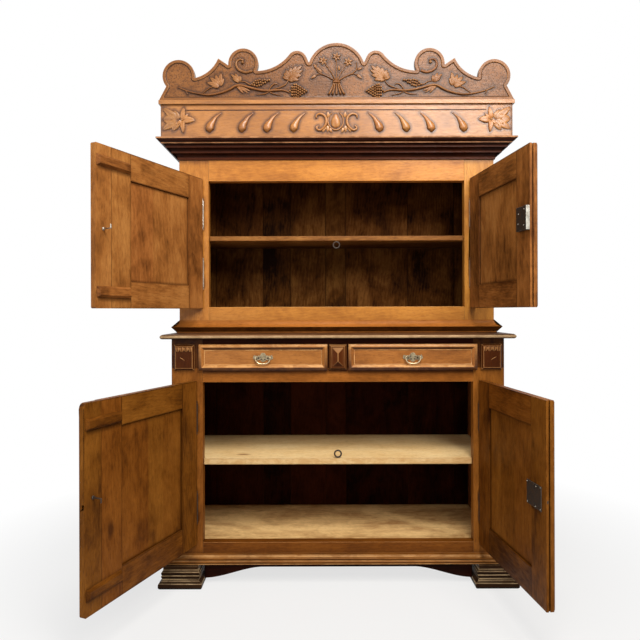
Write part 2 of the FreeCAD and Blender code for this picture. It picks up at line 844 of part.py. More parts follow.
# doors: each is drawn round its hinge pin, with its inner face towards +Y, and then swung open
door_inner = f"({pin_out} - door_gap)"
door_outer = f"({door_inner} - door_thickness)"
hinge_edge = "(knuckle_radius + knuckle_clearance)"
stile_edge = f"({hinge_edge} + stile_width)"
pilaster_near = f"({hinge_line} - pilaster_width / 2)"
pilaster_far = f"({hinge_line} + pilaster_width / 2)"
panel_back = f"({door_inner} - door_panel_back)"
panel_front = f"({panel_back} - door_panel_thickness)"
doors = {
    "upper_left": {"case": "upper", "sign": 1, "free": pilaster_near},
    "upper_right": {"case": "upper", "sign": -1, "free": f"({pilaster_near} - meeting_gap)"},
    "lower_left": {"case": "lower", "sign": 1, "free": pilaster_near},
    "lower_right": {"case": "lower", "sign": -1, "free": f"({pilaster_near} - meeting_gap)"},
}
for door in doors.values():
    door["low"] = f"({cases[door['case']]['sill']} - door_lap_end)"
    door["high"] = f"({cases[door['case']]['head']} + door_lap_end)"


def hang(item, name):
    door = doors[name]
    plane = cases[door["case"]]["plane"]
    return place(item, f"{-door['sign']} * {hinge_line}", f"{plane} - {pin_out}", "0",
                 f"{-door['sign']} * {name}_angle")


def bevelled(name, base, edges):
    # bevels the named edges of a member's outer face
    base.recompute()
    box = base.Shape.BoundBox
    near = 1e-3
    chosen = []
    for index, edge in enumerate(base.Shape.Edges, 1):
        centre = edge.CenterOfMass
        outer = abs(centre.y - box.YMin) < near
        if outer and any(abs(getattr(centre, key[0].lower()) - getattr(box, key)) < near for key in edges):
            chosen.append((index, get("door_arris"), get("door_arris")))
    bevel = doc.addObject("Part::Chamfer", name)
    bevel.Base = base
    bevel.Edges = chosen
    return bevel


def lock_channel(name, sign, free, v, slack):
    return board(name, span(sign, f"{free} - bolt_setback - bolt_length - bolt_travel", f"{free} + bolt_travel"),
                 (f"{v[0]} - {slack}", f"{v[1]} + {slack}"),
                 (f"lower_lock_level - bolt_height / 2 - {slack}", f"lower_lock_level + bolt_height / 2 + {slack}"))


rim_bolt = (f"({door_inner} + bolt_seat)", f"({door_inner} + bolt_seat + bolt_thickness)")
half_bolt = (f"({door_inner} - bolt_seat - bolt_thickness)", f"({door_inner} - bolt_seat)")


def half_lock_box(name, sign, free):
    far = f"{free} - lock_plate_gap - half_lock_inset"
    return board(name, span(sign, f"{far} - half_lock_width", far), (f"{door_inner} - half_lock_depth", door_inner),
                 ("lower_lock_level - half_lock_height / 2", "lower_lock_level + half_lock_height / 2"))


def door_leaf_plate(name, sign, level):
    # the hidden leaf of a barrel hinge, let into the edge of the door
    return board(name, span(sign, hinge_edge, f"{hinge_edge} + leaf_width"),
                 ("-leaf_thickness / 2", "leaf_thickness / 2"), (level, f"{level} + hinge_length"))


def door_frame(name):
    door = doors[name]
    sign = door["sign"]
    free = door["free"]
    z = (door["low"], door["high"])
    v = (door_outer, door_inner)
    rails = {"bottom": (door["low"], f"{door['low']} + door_rail_width"),
             "top": (f"{door['high']} - door_rail_width", door["high"])}
    inner_free = f"{free} - stile_width"
    groove = board(name + "_groove",
                   span(sign, f"{stile_edge} - groove_depth", f"{inner_free} + groove_depth"),
                   (f"{panel_front} - panel_clearance", f"{panel_back} + panel_clearance"),
                   (f"{rails['bottom'][1]} - groove_depth", f"{rails['top'][0]} + groove_depth"))
    middle = f"({panel_front} + {panel_back}) / 2"
    tenons = {}
    for end, (low, high) in rails.items():
        tenons[end] = board(f"{name}_{end}_tenon",
                            span(sign, f"{stile_edge} - door_tenon_length", f"{inner_free} + door_tenon_length"),
                            (f"{middle} - door_tenon_thickness / 2", f"{middle} + door_tenon_thickness / 2"),
                            (f"{low} + door_tenon_shoulder", f"{high} - door_tenon_shoulder"))
    hinge_side, free_side = ("XMin", "XMax") if sign > 0 else ("XMax", "XMin")
    hinge_stile = bevelled(name + "_hinge_bevel",
                           board(name + "_hinge_board", span(sign, hinge_edge, stile_edge), v, z),
                           (hinge_side, "ZMin", "ZMax"))
    free_stile = bevelled(name + "_free_bevel", board(name + "_free_board", span(sign, inner_free, free), v, z),
                          (free_side, "ZMin", "ZMax"))
    seats = []
    for index, level in enumerate(hinge_levels(cases[door["case"]])):
        seats.append(door_leaf_plate(f"{name}_leaf_mortise_{index}", sign, level))
    free_tools = [groove, *tenons.values()]
    if sign < 0:
        lip = f"{door_inner} - lip_thickness"
        free_tools.append(board(name + "_lip", span(sign, f"{free} - lip_groove_depth", free),
                                (f"{lip} - lip_groove_width", lip), z))
    if name == "lower_right":
        free_tools.append(half_lock_box(name + "_lock_seat", sign, free))
        free_tools.append(lock_channel(name + "_bolt_way", sign, free, half_bolt, "bolt_clearance"))
    members = [cut(name + "_hinge_stile", hinge_stile, [groove, *tenons.values(), *seats]),
               cut(name + "_free_stile", free_stile, free_tools)]
    for end, z_pair in rails.items():
        rail = bevelled(f"{name}_{end}_bevel", board(f"{name}_{end}_board", span(sign, stile_edge, inner_free), v, z_pair),
                        ("ZMin" if end == "bottom" else "ZMax",))
        members.append(cut(f"{name}_{end}_rail", fuse(f"{name}_{end}_joined", [rail, tenons[end]]), [groove]))
    return node(hang(group(name + "_frame", members), name), name + "_door_frame")


def door_panel(name):
    door = doors[name]
    sign = door["sign"]
    inner_free = f"{door['free']} - stile_width"
    low = f"{door['low']} + door_rail_width"
    high = f"{door['high']} - door_rail_width"
    reach = "groove_depth - panel_clearance"
    tongue = board(name + "_tongue", span(sign, f"{stile_edge} - ({reach})", f"{inner_free} + {reach}"),
                   (panel_front, panel_back), (f"{low} - ({reach})", f"{high} + {reach}"))
    field = frustum(name + "_field",
                    span(sign, f"{stile_edge} + panel_clearance", f"{inner_free} - panel_clearance"),
                    (f"{panel_front} - door_panel_field", panel_front),
                    (f"{low} + panel_clearance", f"{high} - panel_clearance"), "door_panel_bevel")
    return node(hang(fuse(name + "_panel", [tongue, field]), name), name + "_door_panel")


def knuckle_levels(level):
    # the two outer knuckles belong to the post, the middle one to the door
    end = "(hinge_length - knuckle_length) / 2"
    return {"low": (level, f"{level} + {end} - knuckle_end_gap"),
            "middle": (f"{level} + {end}", f"{level} + {end} + knuckle_length"),
            "high": (f"{level} + {end} + knuckle_length + knuckle_end_gap", f"{level} + hinge_length")}


def door_hinges(name):
    door = doors[name]
    sign = door["sign"]
    leaves = []
    for index, level in enumerate(hinge_levels(cases[door["case"]])):
        key = f"{name}_hinge_{index}"
        low, high = knuckle_levels(level)["middle"]
        leaf = door_leaf_plate(key + "_leaf", sign, level)
        web = board(key + "_web", span(sign, "0", hinge_edge), ("-leaf_thickness / 2", "leaf_thickness / 2"),
                    (low, high))
        knuckle = rod(key + "_knuckle", ("0", "0", low), "knuckle_radius", "knuckle_length")
        bore = rod(key + "_bore", ("0", "0", level), "pin_radius + pin_clearance", "hinge_length")
        leaves.append(cut(key, fuse(key + "_joined", [leaf, web, knuckle]), [bore]))
    return node(hang(group(name + "_hinge_leaves", leaves), name), name + "_door_hinges")


def post_leaf(name, index, level):
    door = doors[name]
    sign = -door["sign"]
    plane = cases[door["case"]]["plane"]
    key = f"{name}_post_leaf_{index}"
    parts = [post_leaf_plate(key + "_leaf", sign, plane, level)]
    centre = (f"{sign} * {hinge_line}", f"{plane} - {pin_out}")
    for end, way in (("low", -1), ("high", 1)):
        low, high = knuckle_levels(level)[end]
        parts.append(board(f"{key}_{end}_web",
                           span(sign, f"{hinge_line} - leaf_thickness / 2", f"{hinge_line} + leaf_thickness / 2"),
                           (f"{plane} - {pin_out}", plane), (low, high)))
        parts.append(rod(f"{key}_{end}_knuckle", (*centre, low), "knuckle_radius", f"{high} - ({low})"))
        tip = low if way < 0 else high
        parts.append(rod(f"{key}_{end}_neck", (*centre, tip), "finial_neck", "finial_neck_length + finial_radius",
                         Vector(0, 0, way)))
        ball = doc.addObject("Part::Sphere", f"{key}_{end}_ball")
        bind(ball, Radius="finial_radius")
        parts.append(place(ball, *centre, f"{tip} + {way} * (finial_neck_length + finial_radius)"))
    parts.append(rod(key + "_pin", (*centre, level), "pin_radius", "hinge_length"))
    return fuse(key, parts)


def false_stile(name):
    door = doors[name]
    case_name = door["case"]
    v = (f"{door_inner} - pilaster_thickness", door_inner)
    strip = board(name + "_strip", (pilaster_near, pilaster_far), v, (door["low"], door["high"]))
    tools = [rod(name + "_hook_hole", (hinge_line, f"{door_inner} - hook_root", hook_level[case_name]),
                 "hook_radius + hook_clearance", "hook_root", Vector(0, 1, 0))]
    if name == "lower_left":
        tools.append(board(name + "_bolt_slot", (f"{pilaster_far} - bolt_travel", pilaster_far),
                           (f"{half_bolt[0]} - meeting_gap", f"{half_bolt[1]} + meeting_gap"),
                           ("lower_lock_level - bolt_height / 2 - meeting_gap",
                            "lower_lock_level + bolt_height / 2 + meeting_gap")))
    parts = [cut(name + "_strip_cut", strip, tools)]
    inset = case_name + "_batten_inset"
    levels = {"bottom": f"{door['low']} + {inset}", "top": f"{door['high']} - {inset} - batten_height"}
    for end, low in levels.items():
        far = f"{pilaster_far} - batten_edge_gap"
        batten = frustum(f"{name}_{end}_batten", (f"{far} - batten_length", far),
                         (door_inner, f"{door_inner} + batten_thickness"), (low, f"{low} + batten_height"),
                         "batten_bevel", outwards=False)
        parts.append(batten)
    return node(hang(group(name + "_false", parts), name), name + "_false_stile")


eye_level = {"upper": "(upper_shelf_level - upper_shelf_thickness - eye_neck - eye_wire - eye_radius)",
             "lower": "(lower_shelf_level + eye_neck + eye_wire + eye_radius)"}
hook_level = {"upper": f"({eye_level['upper']} - hook_drop)", "lower": f"({eye_level['lower']} + hook_drop)"}
hook_turn = {"upper": Vector(0, 0, 1), "lower": Vector(0, 0, -1)}


def door_hook(case_name):
    name = case_name + "_hook"
    level = hook_level[case_name]
    elbow = (hinge_line, f"{door_inner} + hook_reach - hook_radius", level)
    shank = rod(name + "_shank", (hinge_line, f"{door_inner} - hook_root", level), "hook_radius",
                "hook_root + hook_reach - hook_radius", Vector(0, 1, 0))
    bend = doc.addObject("Part::Sphere", name + "_bend")
    bind(bend, Radius="hook_radius")
    place(bend, *elbow)
    tip = rod(name + "_tip", elbow, "hook_radius", "hook_tip", hook_turn[case_name])
    collar = rod(name + "_collar", (hinge_line, f"{door_inner} + bolt_clearance", level), "hook_collar_radius",
                 "hook_collar", Vector(0, 1, 0))
    return node(hang(fuse(name, [shank, bend, tip, collar]), case_name + "_left"), case_name + "_door_hook")


def shelf_eye(case_name):
    name = case_name + "_eye"
    y = f"{cases[case_name]['plane']} + eye_setback"
    ring = doc.addObject("Part::Torus", name + "_ring")
    bind(ring, Radius1="eye_radius", Radius2="eye_wire")
    ring.Placement.Rotation = FreeCAD.Rotation(Vector(0, 0, 1), Vector(0, 1, 0))
    place(ring, "0", y, eye_level[case_name])
    sense = 1 if case_name == "upper" else -1
    neck = rod(name + "_neck", ("0", y, f"{eye_level[case_name]} + {sense} * eye_radius"), "eye_wire",
               "eye_wire + eye_neck", Vector(0, 0, sense))
    return fuse(name, [ring, neck])


def lock(case_name):
    name = case_name + "_lock"
    door = doors[case_name + "_right"]
    sign = door["sign"]
    free = door["free"]
    level = case_name + "_lock_level"
    v = rim_bolt if case_name == "upper" else half_bolt
    bolt_z = (f"{level} - bolt_height / 2", f"{level} + bolt_height / 2")
    way = board(name + "_way",
                span(sign, f"{free} - bolt_setback - bolt_length - bolt_clearance", f"{free} + bolt_travel"),
                (f"{v[0]} - bolt_clearance", f"{v[1]} + bolt_clearance"),
                (f"{bolt_z[0]} - bolt_clearance", f"{bolt_z[1]} + bolt_clearance"))
    if case_name == "upper":
        case = board(name + "_box", span(sign, f"{free} - rim_lock_width", free),
                     (door_inner, f"{door_inner} + rim_lock_thickness"),
                     (f"{level} - rim_lock_height / 2", f"{level} + rim_lock_height / 2"))
    else:
        far = f"{free} - lock_plate_gap"
        plate = board(name + "_plate", span(sign, f"{far} - lock_plate_width", far),
                      (door_inner, f"{door_inner} + lock_plate_thickness"),
                      (f"{level} - lock_plate_height / 2", f"{level} + lock_plate_height / 2"))
        case = fuse(name + "_box", [plate, half_lock_box(name + "_body", sign, free)])
    node(hang(cut(name + "_case_cut", case, [way]), case_name + "_right"), name + "_case")
    bolt = board(name + "_bolt_bar", span(sign, f"{free} - bolt_setback - bolt_length", f"{free} - bolt_setback"),
                 v, bolt_z)
    node(hang(group(name + "_bolt_group", [bolt]), case_name + "_right"), name + "_bolt")


for name in doors:
    door_frame(name)
    door_panel(name)
    door_hinges(name)
node(group("post_leaf_group", [post_leaf(name, index, level) for name, door in doors.items()
                               for index, level in enumerate(hinge_levels(cases[door["case"]]))]),
     "hinge_post_leaves")
for case_name in cases:
    false_stile(case_name + "_left")
    door_hook(case_name)
    lock(case_name)
node(group("eye_group", [shelf_eye(case_name) for case_name in cases]), "shelf_hook_eyes")

# drawers that lap over the front frame, with their boxes and bail handles
drawer_back = f"({front} - door_gap)"
drawer_face = f"({drawer_back} - drawer_front_thickness)"
band_middle = f"(({drawer_sill} + {drawer_head}) / 2)"


def drawer(side, sign):
    name = side + "_drawer"
    near = "drawer_inner_edge"
    far = f"{half_opening} + drawer_lap_side"
    z = (f"{drawer_sill} - drawer_lap_end", f"{drawer_head} + drawer_lap_end")
    core = board(name + "_core", span(sign, near, far), (f"{drawer_face} + drawer_bevel", drawer_back), z)
    bevel = frustum(name + "_bevel", span(sign, near, far), (drawer_face, f"{drawer_face} + drawer_bevel"), z,
                    "drawer_bevel")
    field = frustum(name + "_field", span(sign, f"{near} + drawer_rim", f"{far} - drawer_rim"),
                    (drawer_face, f"{drawer_face} + drawer_sinking"),
                    (f"{z[0]} + drawer_rim", f"{z[1]} - drawer_rim"), "drawer_slope", outwards=False)
    node(cut(name + "_face", fuse(name + "_joined", [core, bevel]), [field]), name + "_front")
    inner = f"({divider_half} + drawer_side_clearance)"
    outer = f"({half_opening} - drawer_side_clearance)"
    depth = f"({drawer_back} + drawer_depth)"
    low = f"({drawer_sill} + drawer_runner_clearance)"
    wall_z = (low, f"{drawer_head} - drawer_head_clearance")
    floor_z = (f"{low} + drawer_bottom_rise", f"{low} + drawer_bottom_rise + drawer_bottom_thickness")
    gap = (f"{inner} + drawer_side_thickness", f"{outer} - drawer_side_thickness")
    rear = f"{depth} - drawer_side_thickness"
    walls = [board(name + "_inner_side", span(sign, inner, gap[0]), (drawer_back, depth), wall_z),
             board(name + "_outer_side", span(sign, gap[1], outer), (drawer_back, depth), wall_z),
             board(name + "_rear", span(sign, *gap), (rear, depth), wall_z),
             board(name + "_bottom", span(sign, *gap), (drawer_back, rear), floor_z)]
    node(group(name + "_walls", walls), name + "_box")


def plate_outline():
    half = get("plate_width") / 2
    tall = get("plate_height") / 2
    waist = get("plate_waist")
    return both_halves([step(0, -tall), step(waist / 2, -tall / 2, corner=(waist / 2, -tall)),
                        step(half, -tall / 4, via=((half + waist / 2) / 2, -tall * 0.6)),
                        step(half - waist / 4, tall / 2, via=(half - waist / 16, tall / 6)),
                        step(waist / 2, tall / 2, via=((half + waist / 4) / 2, tall / 3)),
                        step(0, tall, corner=(waist / 2, tall))])


def handle(side, sign):
    name = side + "_handle"
    middle = f"{sign} * (drawer_inner_edge + {half_opening} + drawer_lap_side) / 2"
    seat = f"({drawer_face} + drawer_sinking)"
    thick = get("plate_thickness")
    wing = (get("plate_width") + get("plate_waist")) / 4
    run = Vector(0, -thick, 0)
    plate = Part.Face(outline(plate_outline(), lambda out, rise: Vector(out, 0, rise))).extrude(run)
    for place_x in (-wing, wing):
        hole = Part.makeCylinder(get("plate_piercing"), thick, Vector(place_x, 0, 0), run)
        plate = plate.cut(hole)
    radius = get("boss_radius")
    axis_y = -thick - get("bail_axis_out")
    rise = get("boss_rise")
    for place_x in (-get("boss_spacing") / 2, get("boss_spacing") / 2):
        boss = Part.makeCylinder(radius, get("boss_length"), Vector(place_x, -thick, rise), run)
        eye = Part.makeCylinder(get("bail_wire") + get("bail_clearance"), 2 * radius,
                                Vector(place_x - radius, axis_y, rise), Vector(1, 0, 0))
        plate = plate.fuse(boss).cut(eye)
    node(place(solid(name + "_wing", plate.removeSplitter().Solids[0]), middle, seat, band_middle), name + "_plate")
    half = get("bail_width") / 2
    end = get("boss_spacing") / 2 - radius * 0.75
    bend = get("bail_wire") * 1.1
    corner = get("bail_corner")
    drop = -get("bail_drop")
    path = [step(-end, 0), step(-half + bend, 0), step(-half, -bend, corner=(-half, 0)),
            step(-half, drop + corner), step(-half + corner, drop, corner=(-half, drop)),
            step(half - corner, drop), step(half, drop + corner, corner=(half, drop)),
            step(half, -bend), step(half - bend, 0, corner=(half, 0)), step(end, 0)]
    edges = outline(path, lambda out, rise: Vector(out, 0, rise)).Edges
    spine = Part.Wire([edge for edge in Part.__sortEdges__(edges) if edge.Length < 2 * end - 1e-3 or
                       abs(edge.CenterOfMass.z) > radius])
    section = Part.Wire(Part.makeCircle(get("bail_wire"), Vector(-end, 0, 0), Vector(1, 0, 0)))
    bail = spine.makePipeShell([section], True, False)
    node(place(solid(name + "_loop", bail), middle,
               f"{seat} - plate_thickness - bail_axis_out", f"{band_middle} + boss_rise"), name + "_bail")


for side, sign in sides:
    drawer(side, sign)
    handle(side, sign)

# blocks of the drawer band: a diamond point in the middle and one block on each post
block_z = (f"{band_middle} - block_height / 2", f"{band_middle} + block_height / 2")
block_y = (f"{front} - block_thickness", f"{front} - block_thickness + block_bevel")


def block(name, x):
    body = board(name + "_body", x, (block_y[1], front), block_z)
    return [body, frustum(name + "_bevel", x, block_y, block_z, "block_bevel")]


diamond_x = centred("diamond_width / 2 - diamond_border")
diamond_z = (f"{block_z[0]} + diamond_border", f"{block_z[1]} - diamond_border")
point = frustum("diamond_point", diamond_x, (f"{block_y[0]} - diamond_rise", block_y[0]), diamond_z,
                "diamond_width / 2 - diamond_border - diamond_ridge")
blocks = [fuse("diamond_block", block("diamond", centred("diamond_width / 2")) + [point])]
for side, sign in sides:
    far = f"{half_width} - end_block_inset"
    blocks.append(fuse(side + "_end_block", block(side + "_end", span(sign, f"{far} - end_block_width", far))))
node(group("block_group", blocks), "drawer_band_blocks")

# the origin goes on the floor under the middle of the whole object, doors included
doc.recompute()
middle = Part.makeCompound([item.Shape for item in nodes]).BoundBox.Center
for item in nodes:
    formulas = {entry[0].lstrip("."): entry[1] for entry in item.ExpressionEngine}
    for axis in "xy":
        path = "Placement.Base." + axis
        item.setExpression(path, f"{formulas.get(path, '0')} - ({getattr(middle, axis):.6f})")

# recompute, look for failures, and write one file for each piece
doc.recompute()
failed = [item.Label for item in doc.Objects if {"Invalid", "Error"} & set(item.State)]
failed += [item.Label for item in nodes if item.Shape.isNull() or not item.Shape.isValid()]
if failed:
    raise RuntimeError("failed: " + ", ".join(failed))
os.makedirs("parts", exist_ok=True)
for item in nodes:
    item.Shape.exportStep(f"parts/{item.Label}.step")
print(len(nodes), "pieces,", sum(len(item.Shape.Solids) for item in nodes), "solids, moved by",
      f"{-middle.x:.3f}, {-middle.y:.3f}")
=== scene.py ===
import bpy
import bmesh
import json
import math
import random
from mathutils import Matrix, Vector, bvhtree, kdtree


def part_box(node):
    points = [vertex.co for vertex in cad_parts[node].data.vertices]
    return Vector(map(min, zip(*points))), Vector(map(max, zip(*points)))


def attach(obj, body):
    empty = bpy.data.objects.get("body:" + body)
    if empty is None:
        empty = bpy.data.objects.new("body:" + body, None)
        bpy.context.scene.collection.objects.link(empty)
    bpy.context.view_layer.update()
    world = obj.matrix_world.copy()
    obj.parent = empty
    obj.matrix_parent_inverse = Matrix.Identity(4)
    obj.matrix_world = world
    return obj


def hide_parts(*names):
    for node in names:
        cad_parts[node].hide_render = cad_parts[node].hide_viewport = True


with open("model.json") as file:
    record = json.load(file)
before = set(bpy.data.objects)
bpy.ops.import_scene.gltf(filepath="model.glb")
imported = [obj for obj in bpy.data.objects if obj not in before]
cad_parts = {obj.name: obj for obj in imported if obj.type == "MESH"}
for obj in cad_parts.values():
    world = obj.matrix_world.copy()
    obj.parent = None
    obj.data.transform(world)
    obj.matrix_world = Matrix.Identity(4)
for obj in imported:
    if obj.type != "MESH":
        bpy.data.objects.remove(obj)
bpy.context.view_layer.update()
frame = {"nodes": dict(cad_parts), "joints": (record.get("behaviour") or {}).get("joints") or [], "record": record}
nodes = frame["nodes"]
nodeBody = {node: body for body, members in frame["record"]["behaviour"]["bodies"].items() for node in members}
print("frame loaded:", len(nodes), "nodes")

# landmarks of the cabinet, in metres
railLow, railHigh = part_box("bottom_rail")
midX = (railLow.x + railHigh.x) / 2
lowerFront = railLow.y
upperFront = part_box("upper_bottom_rail")[0].y
crestLow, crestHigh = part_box("crest_board")
friezeLow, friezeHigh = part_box("frieze_board")
bandLow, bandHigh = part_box("drawer_band_blocks")

# how far each door stands open, as a turn about Z from closed
doorTurn = {joint["child"]: Matrix.Rotation(math.radians(-joint["range_deg"][0]) * joint["axis"][2], 3, "Z")
            for joint in frame["joints"] if joint["child"].endswith("_door")}
doorPin = {joint["child"]: Vector(joint["pos_m"]) for joint in frame["joints"] if joint["child"].endswith("_door")}


# small shader helpers
def newMaterial(name):
    material = bpy.data.materials.new(name)
    material.use_nodes = True
    tree = material.node_tree
    return material, tree, tree.nodes["Principled BSDF"]


def addNode(tree, kind, **values):
    item = tree.nodes.new(kind)
    for key, value in values.items():
        if hasattr(item, key):
            setattr(item, key, value)
        else:
            item.inputs[key.replace("_", " ")].default_value = value
    return item


def mixColour(tree, factor, first, second, blend="MIX"):
    item = tree.nodes.new("ShaderNodeMix")
    item.data_type = "RGBA"
    item.blend_type = blend
    for socket, value in ((item.inputs[0], factor), (item.inputs[6], first), (item.inputs[7], second)):
        if isinstance(value, bpy.types.NodeSocket):
            tree.links.new(value, socket)
        else:
            socket.default_value = value if isinstance(value, float) else (*value, 1)
    return item.outputs[2]


def maths(tree, operation, first, second=0.0, clamp=False):
    item = tree.nodes.new("ShaderNodeMath")
    item.operation = operation
    item.use_clamp = clamp
    for socket, value in zip(item.inputs, (first, second)):
        if isinstance(value, bpy.types.NodeSocket):
            tree.links.new(value, socket)
        else:
            socket.default_value = value
    return item.outputs[0]


def mapRange(tree, value, low, high, newLow=0.0, newHigh=1.0):
    item = tree.nodes.new("ShaderNodeMapRange")
    tree.links.new(value, item.inputs[0])
    for index, number in enumerate((low, high, newLow, newHigh), 1):
        item.inputs[index].default_value = number
    return item.outputs[0]


def stretched(tree, vector, across, along):
    item = tree.nodes.new("ShaderNodeVectorMath")
    item.operation = "MULTIPLY"
    tree.links.new(vector, item.inputs[0])
    item.inputs[1].default_value = (across, across, along)
    return item.outputs[0]


def noiseOf(tree, vector, scale, detail=3.0, roughness=0.55, distortion=0.0):
    item = tree.nodes.new("ShaderNodeTexNoise")
    tree.links.new(vector, item.inputs["Vector"])
    item.inputs["Scale"].default_value = scale
    item.inputs["Detail"].default_value = detail
    item.inputs["Roughness"].default_value = roughness
    item.inputs["Distortion"].default_value = distortion
    return item.outputs["Fac"]


def newGroup(name, inputs, outputs):
    group = bpy.data.node_groups.new(name, "ShaderNodeTree")
    for label, kind in inputs:
        group.interface.new_socket(label, in_out="INPUT", socket_type=kind)
    for label in outputs:
        group.interface.new_socket(label, in_out="OUTPUT", socket_type="NodeSocketFloat")
    return group, group.nodes.new("NodeGroupInput"), group.nodes.new("NodeGroupOutput")


# oak and pine share one figure, laid along the third axis of grainSpace; each mask has a share in the tone
figureSizes = {"bands": (14, 1.2), "streaks": (75, 6.0), "fibres": (210, 24), "pores": (420, 50), "mottle": (26, 17),
               "blotches": (6, 4.0), "knot": 2.0, "ring": 24.0, "ringTilt": 0.09}
figureShares = {"Bands": 0.32, "Streaks": 0.16, "Fibres": 0.25, "Mottle": 0.3, "Blotches": 0.75, "Rings": 0.14}


def makeFigureGroup():
    group, start, end = newGroup("woodFigure", [("Vector", "NodeSocketVector")],
                                 ("Figure", "Fibres", "Pores", "Mottle", "Knots"))
    vector = start.outputs["Vector"]
    sizes = figureSizes
    masks = {}
    for label, detail, twist, low, high in (("Bands", 4.0, 1.2, 0.36, 0.64), ("Streaks", 4.0, 0.8, 0.38, 0.62),
                                            ("Fibres", 3.0, 0.0, 0.34, 0.66), ("Pores", 2.0, 0.0, 0.54, 0.66),
                                            ("Mottle", 7.0, 0.8, 0.38, 0.62), ("Blotches", 4.0, 0.5, 0.38, 0.62)):
        noise = noiseOf(group, stretched(group, vector, *sizes[label.lower()]), 1.0, detail, 0.62, twist)
        masks[label] = mapRange(group, noise, low, high)
    tilt = addNode(group, "ShaderNodeMapping")
    group.links.new(vector, tilt.inputs["Vector"])
    tilt.inputs["Rotation"].default_value = (sizes["ringTilt"], -sizes["ringTilt"], 0)
    rings = group.nodes.new("ShaderNodeTexWave")
    rings.wave_type = "RINGS"
    rings.rings_direction = "Z"
    group.links.new(tilt.outputs[0], rings.inputs["Vector"])
    for label, value in (("Scale", sizes["ring"]), ("Distortion", 9.0), ("Detail", 3.0), ("Detail Scale", 0.25)):
        rings.inputs[label].default_value = value
    masks["Rings"] = rings.outputs["Fac"]
    cells = group.nodes.new("ShaderNodeTexVoronoi")
    group.links.new(stretched(group, vector, sizes["knot"] * 2, sizes["knot"]), cells.inputs["Vector"])
    cells.inputs["Scale"].default_value = 1.0
    masks["Knots"] = mapRange(group, cells.outputs["Distance"], 0.08, 0.03)
    tone = 0.0
    for label, share in figureShares.items():
        tone = maths(group, "ADD", maths(group, "MULTIPLY", maths(group, "SUBTRACT", masks[label], 0.5), share), tone)
    masks["Figure"] = tone
    for label in ("Figure", "Fibres", "Pores", "Mottle", "Knots"):
        group.links.new(masks[label], end.inputs[label])
    return group


figureGroup = makeFigureGroup()

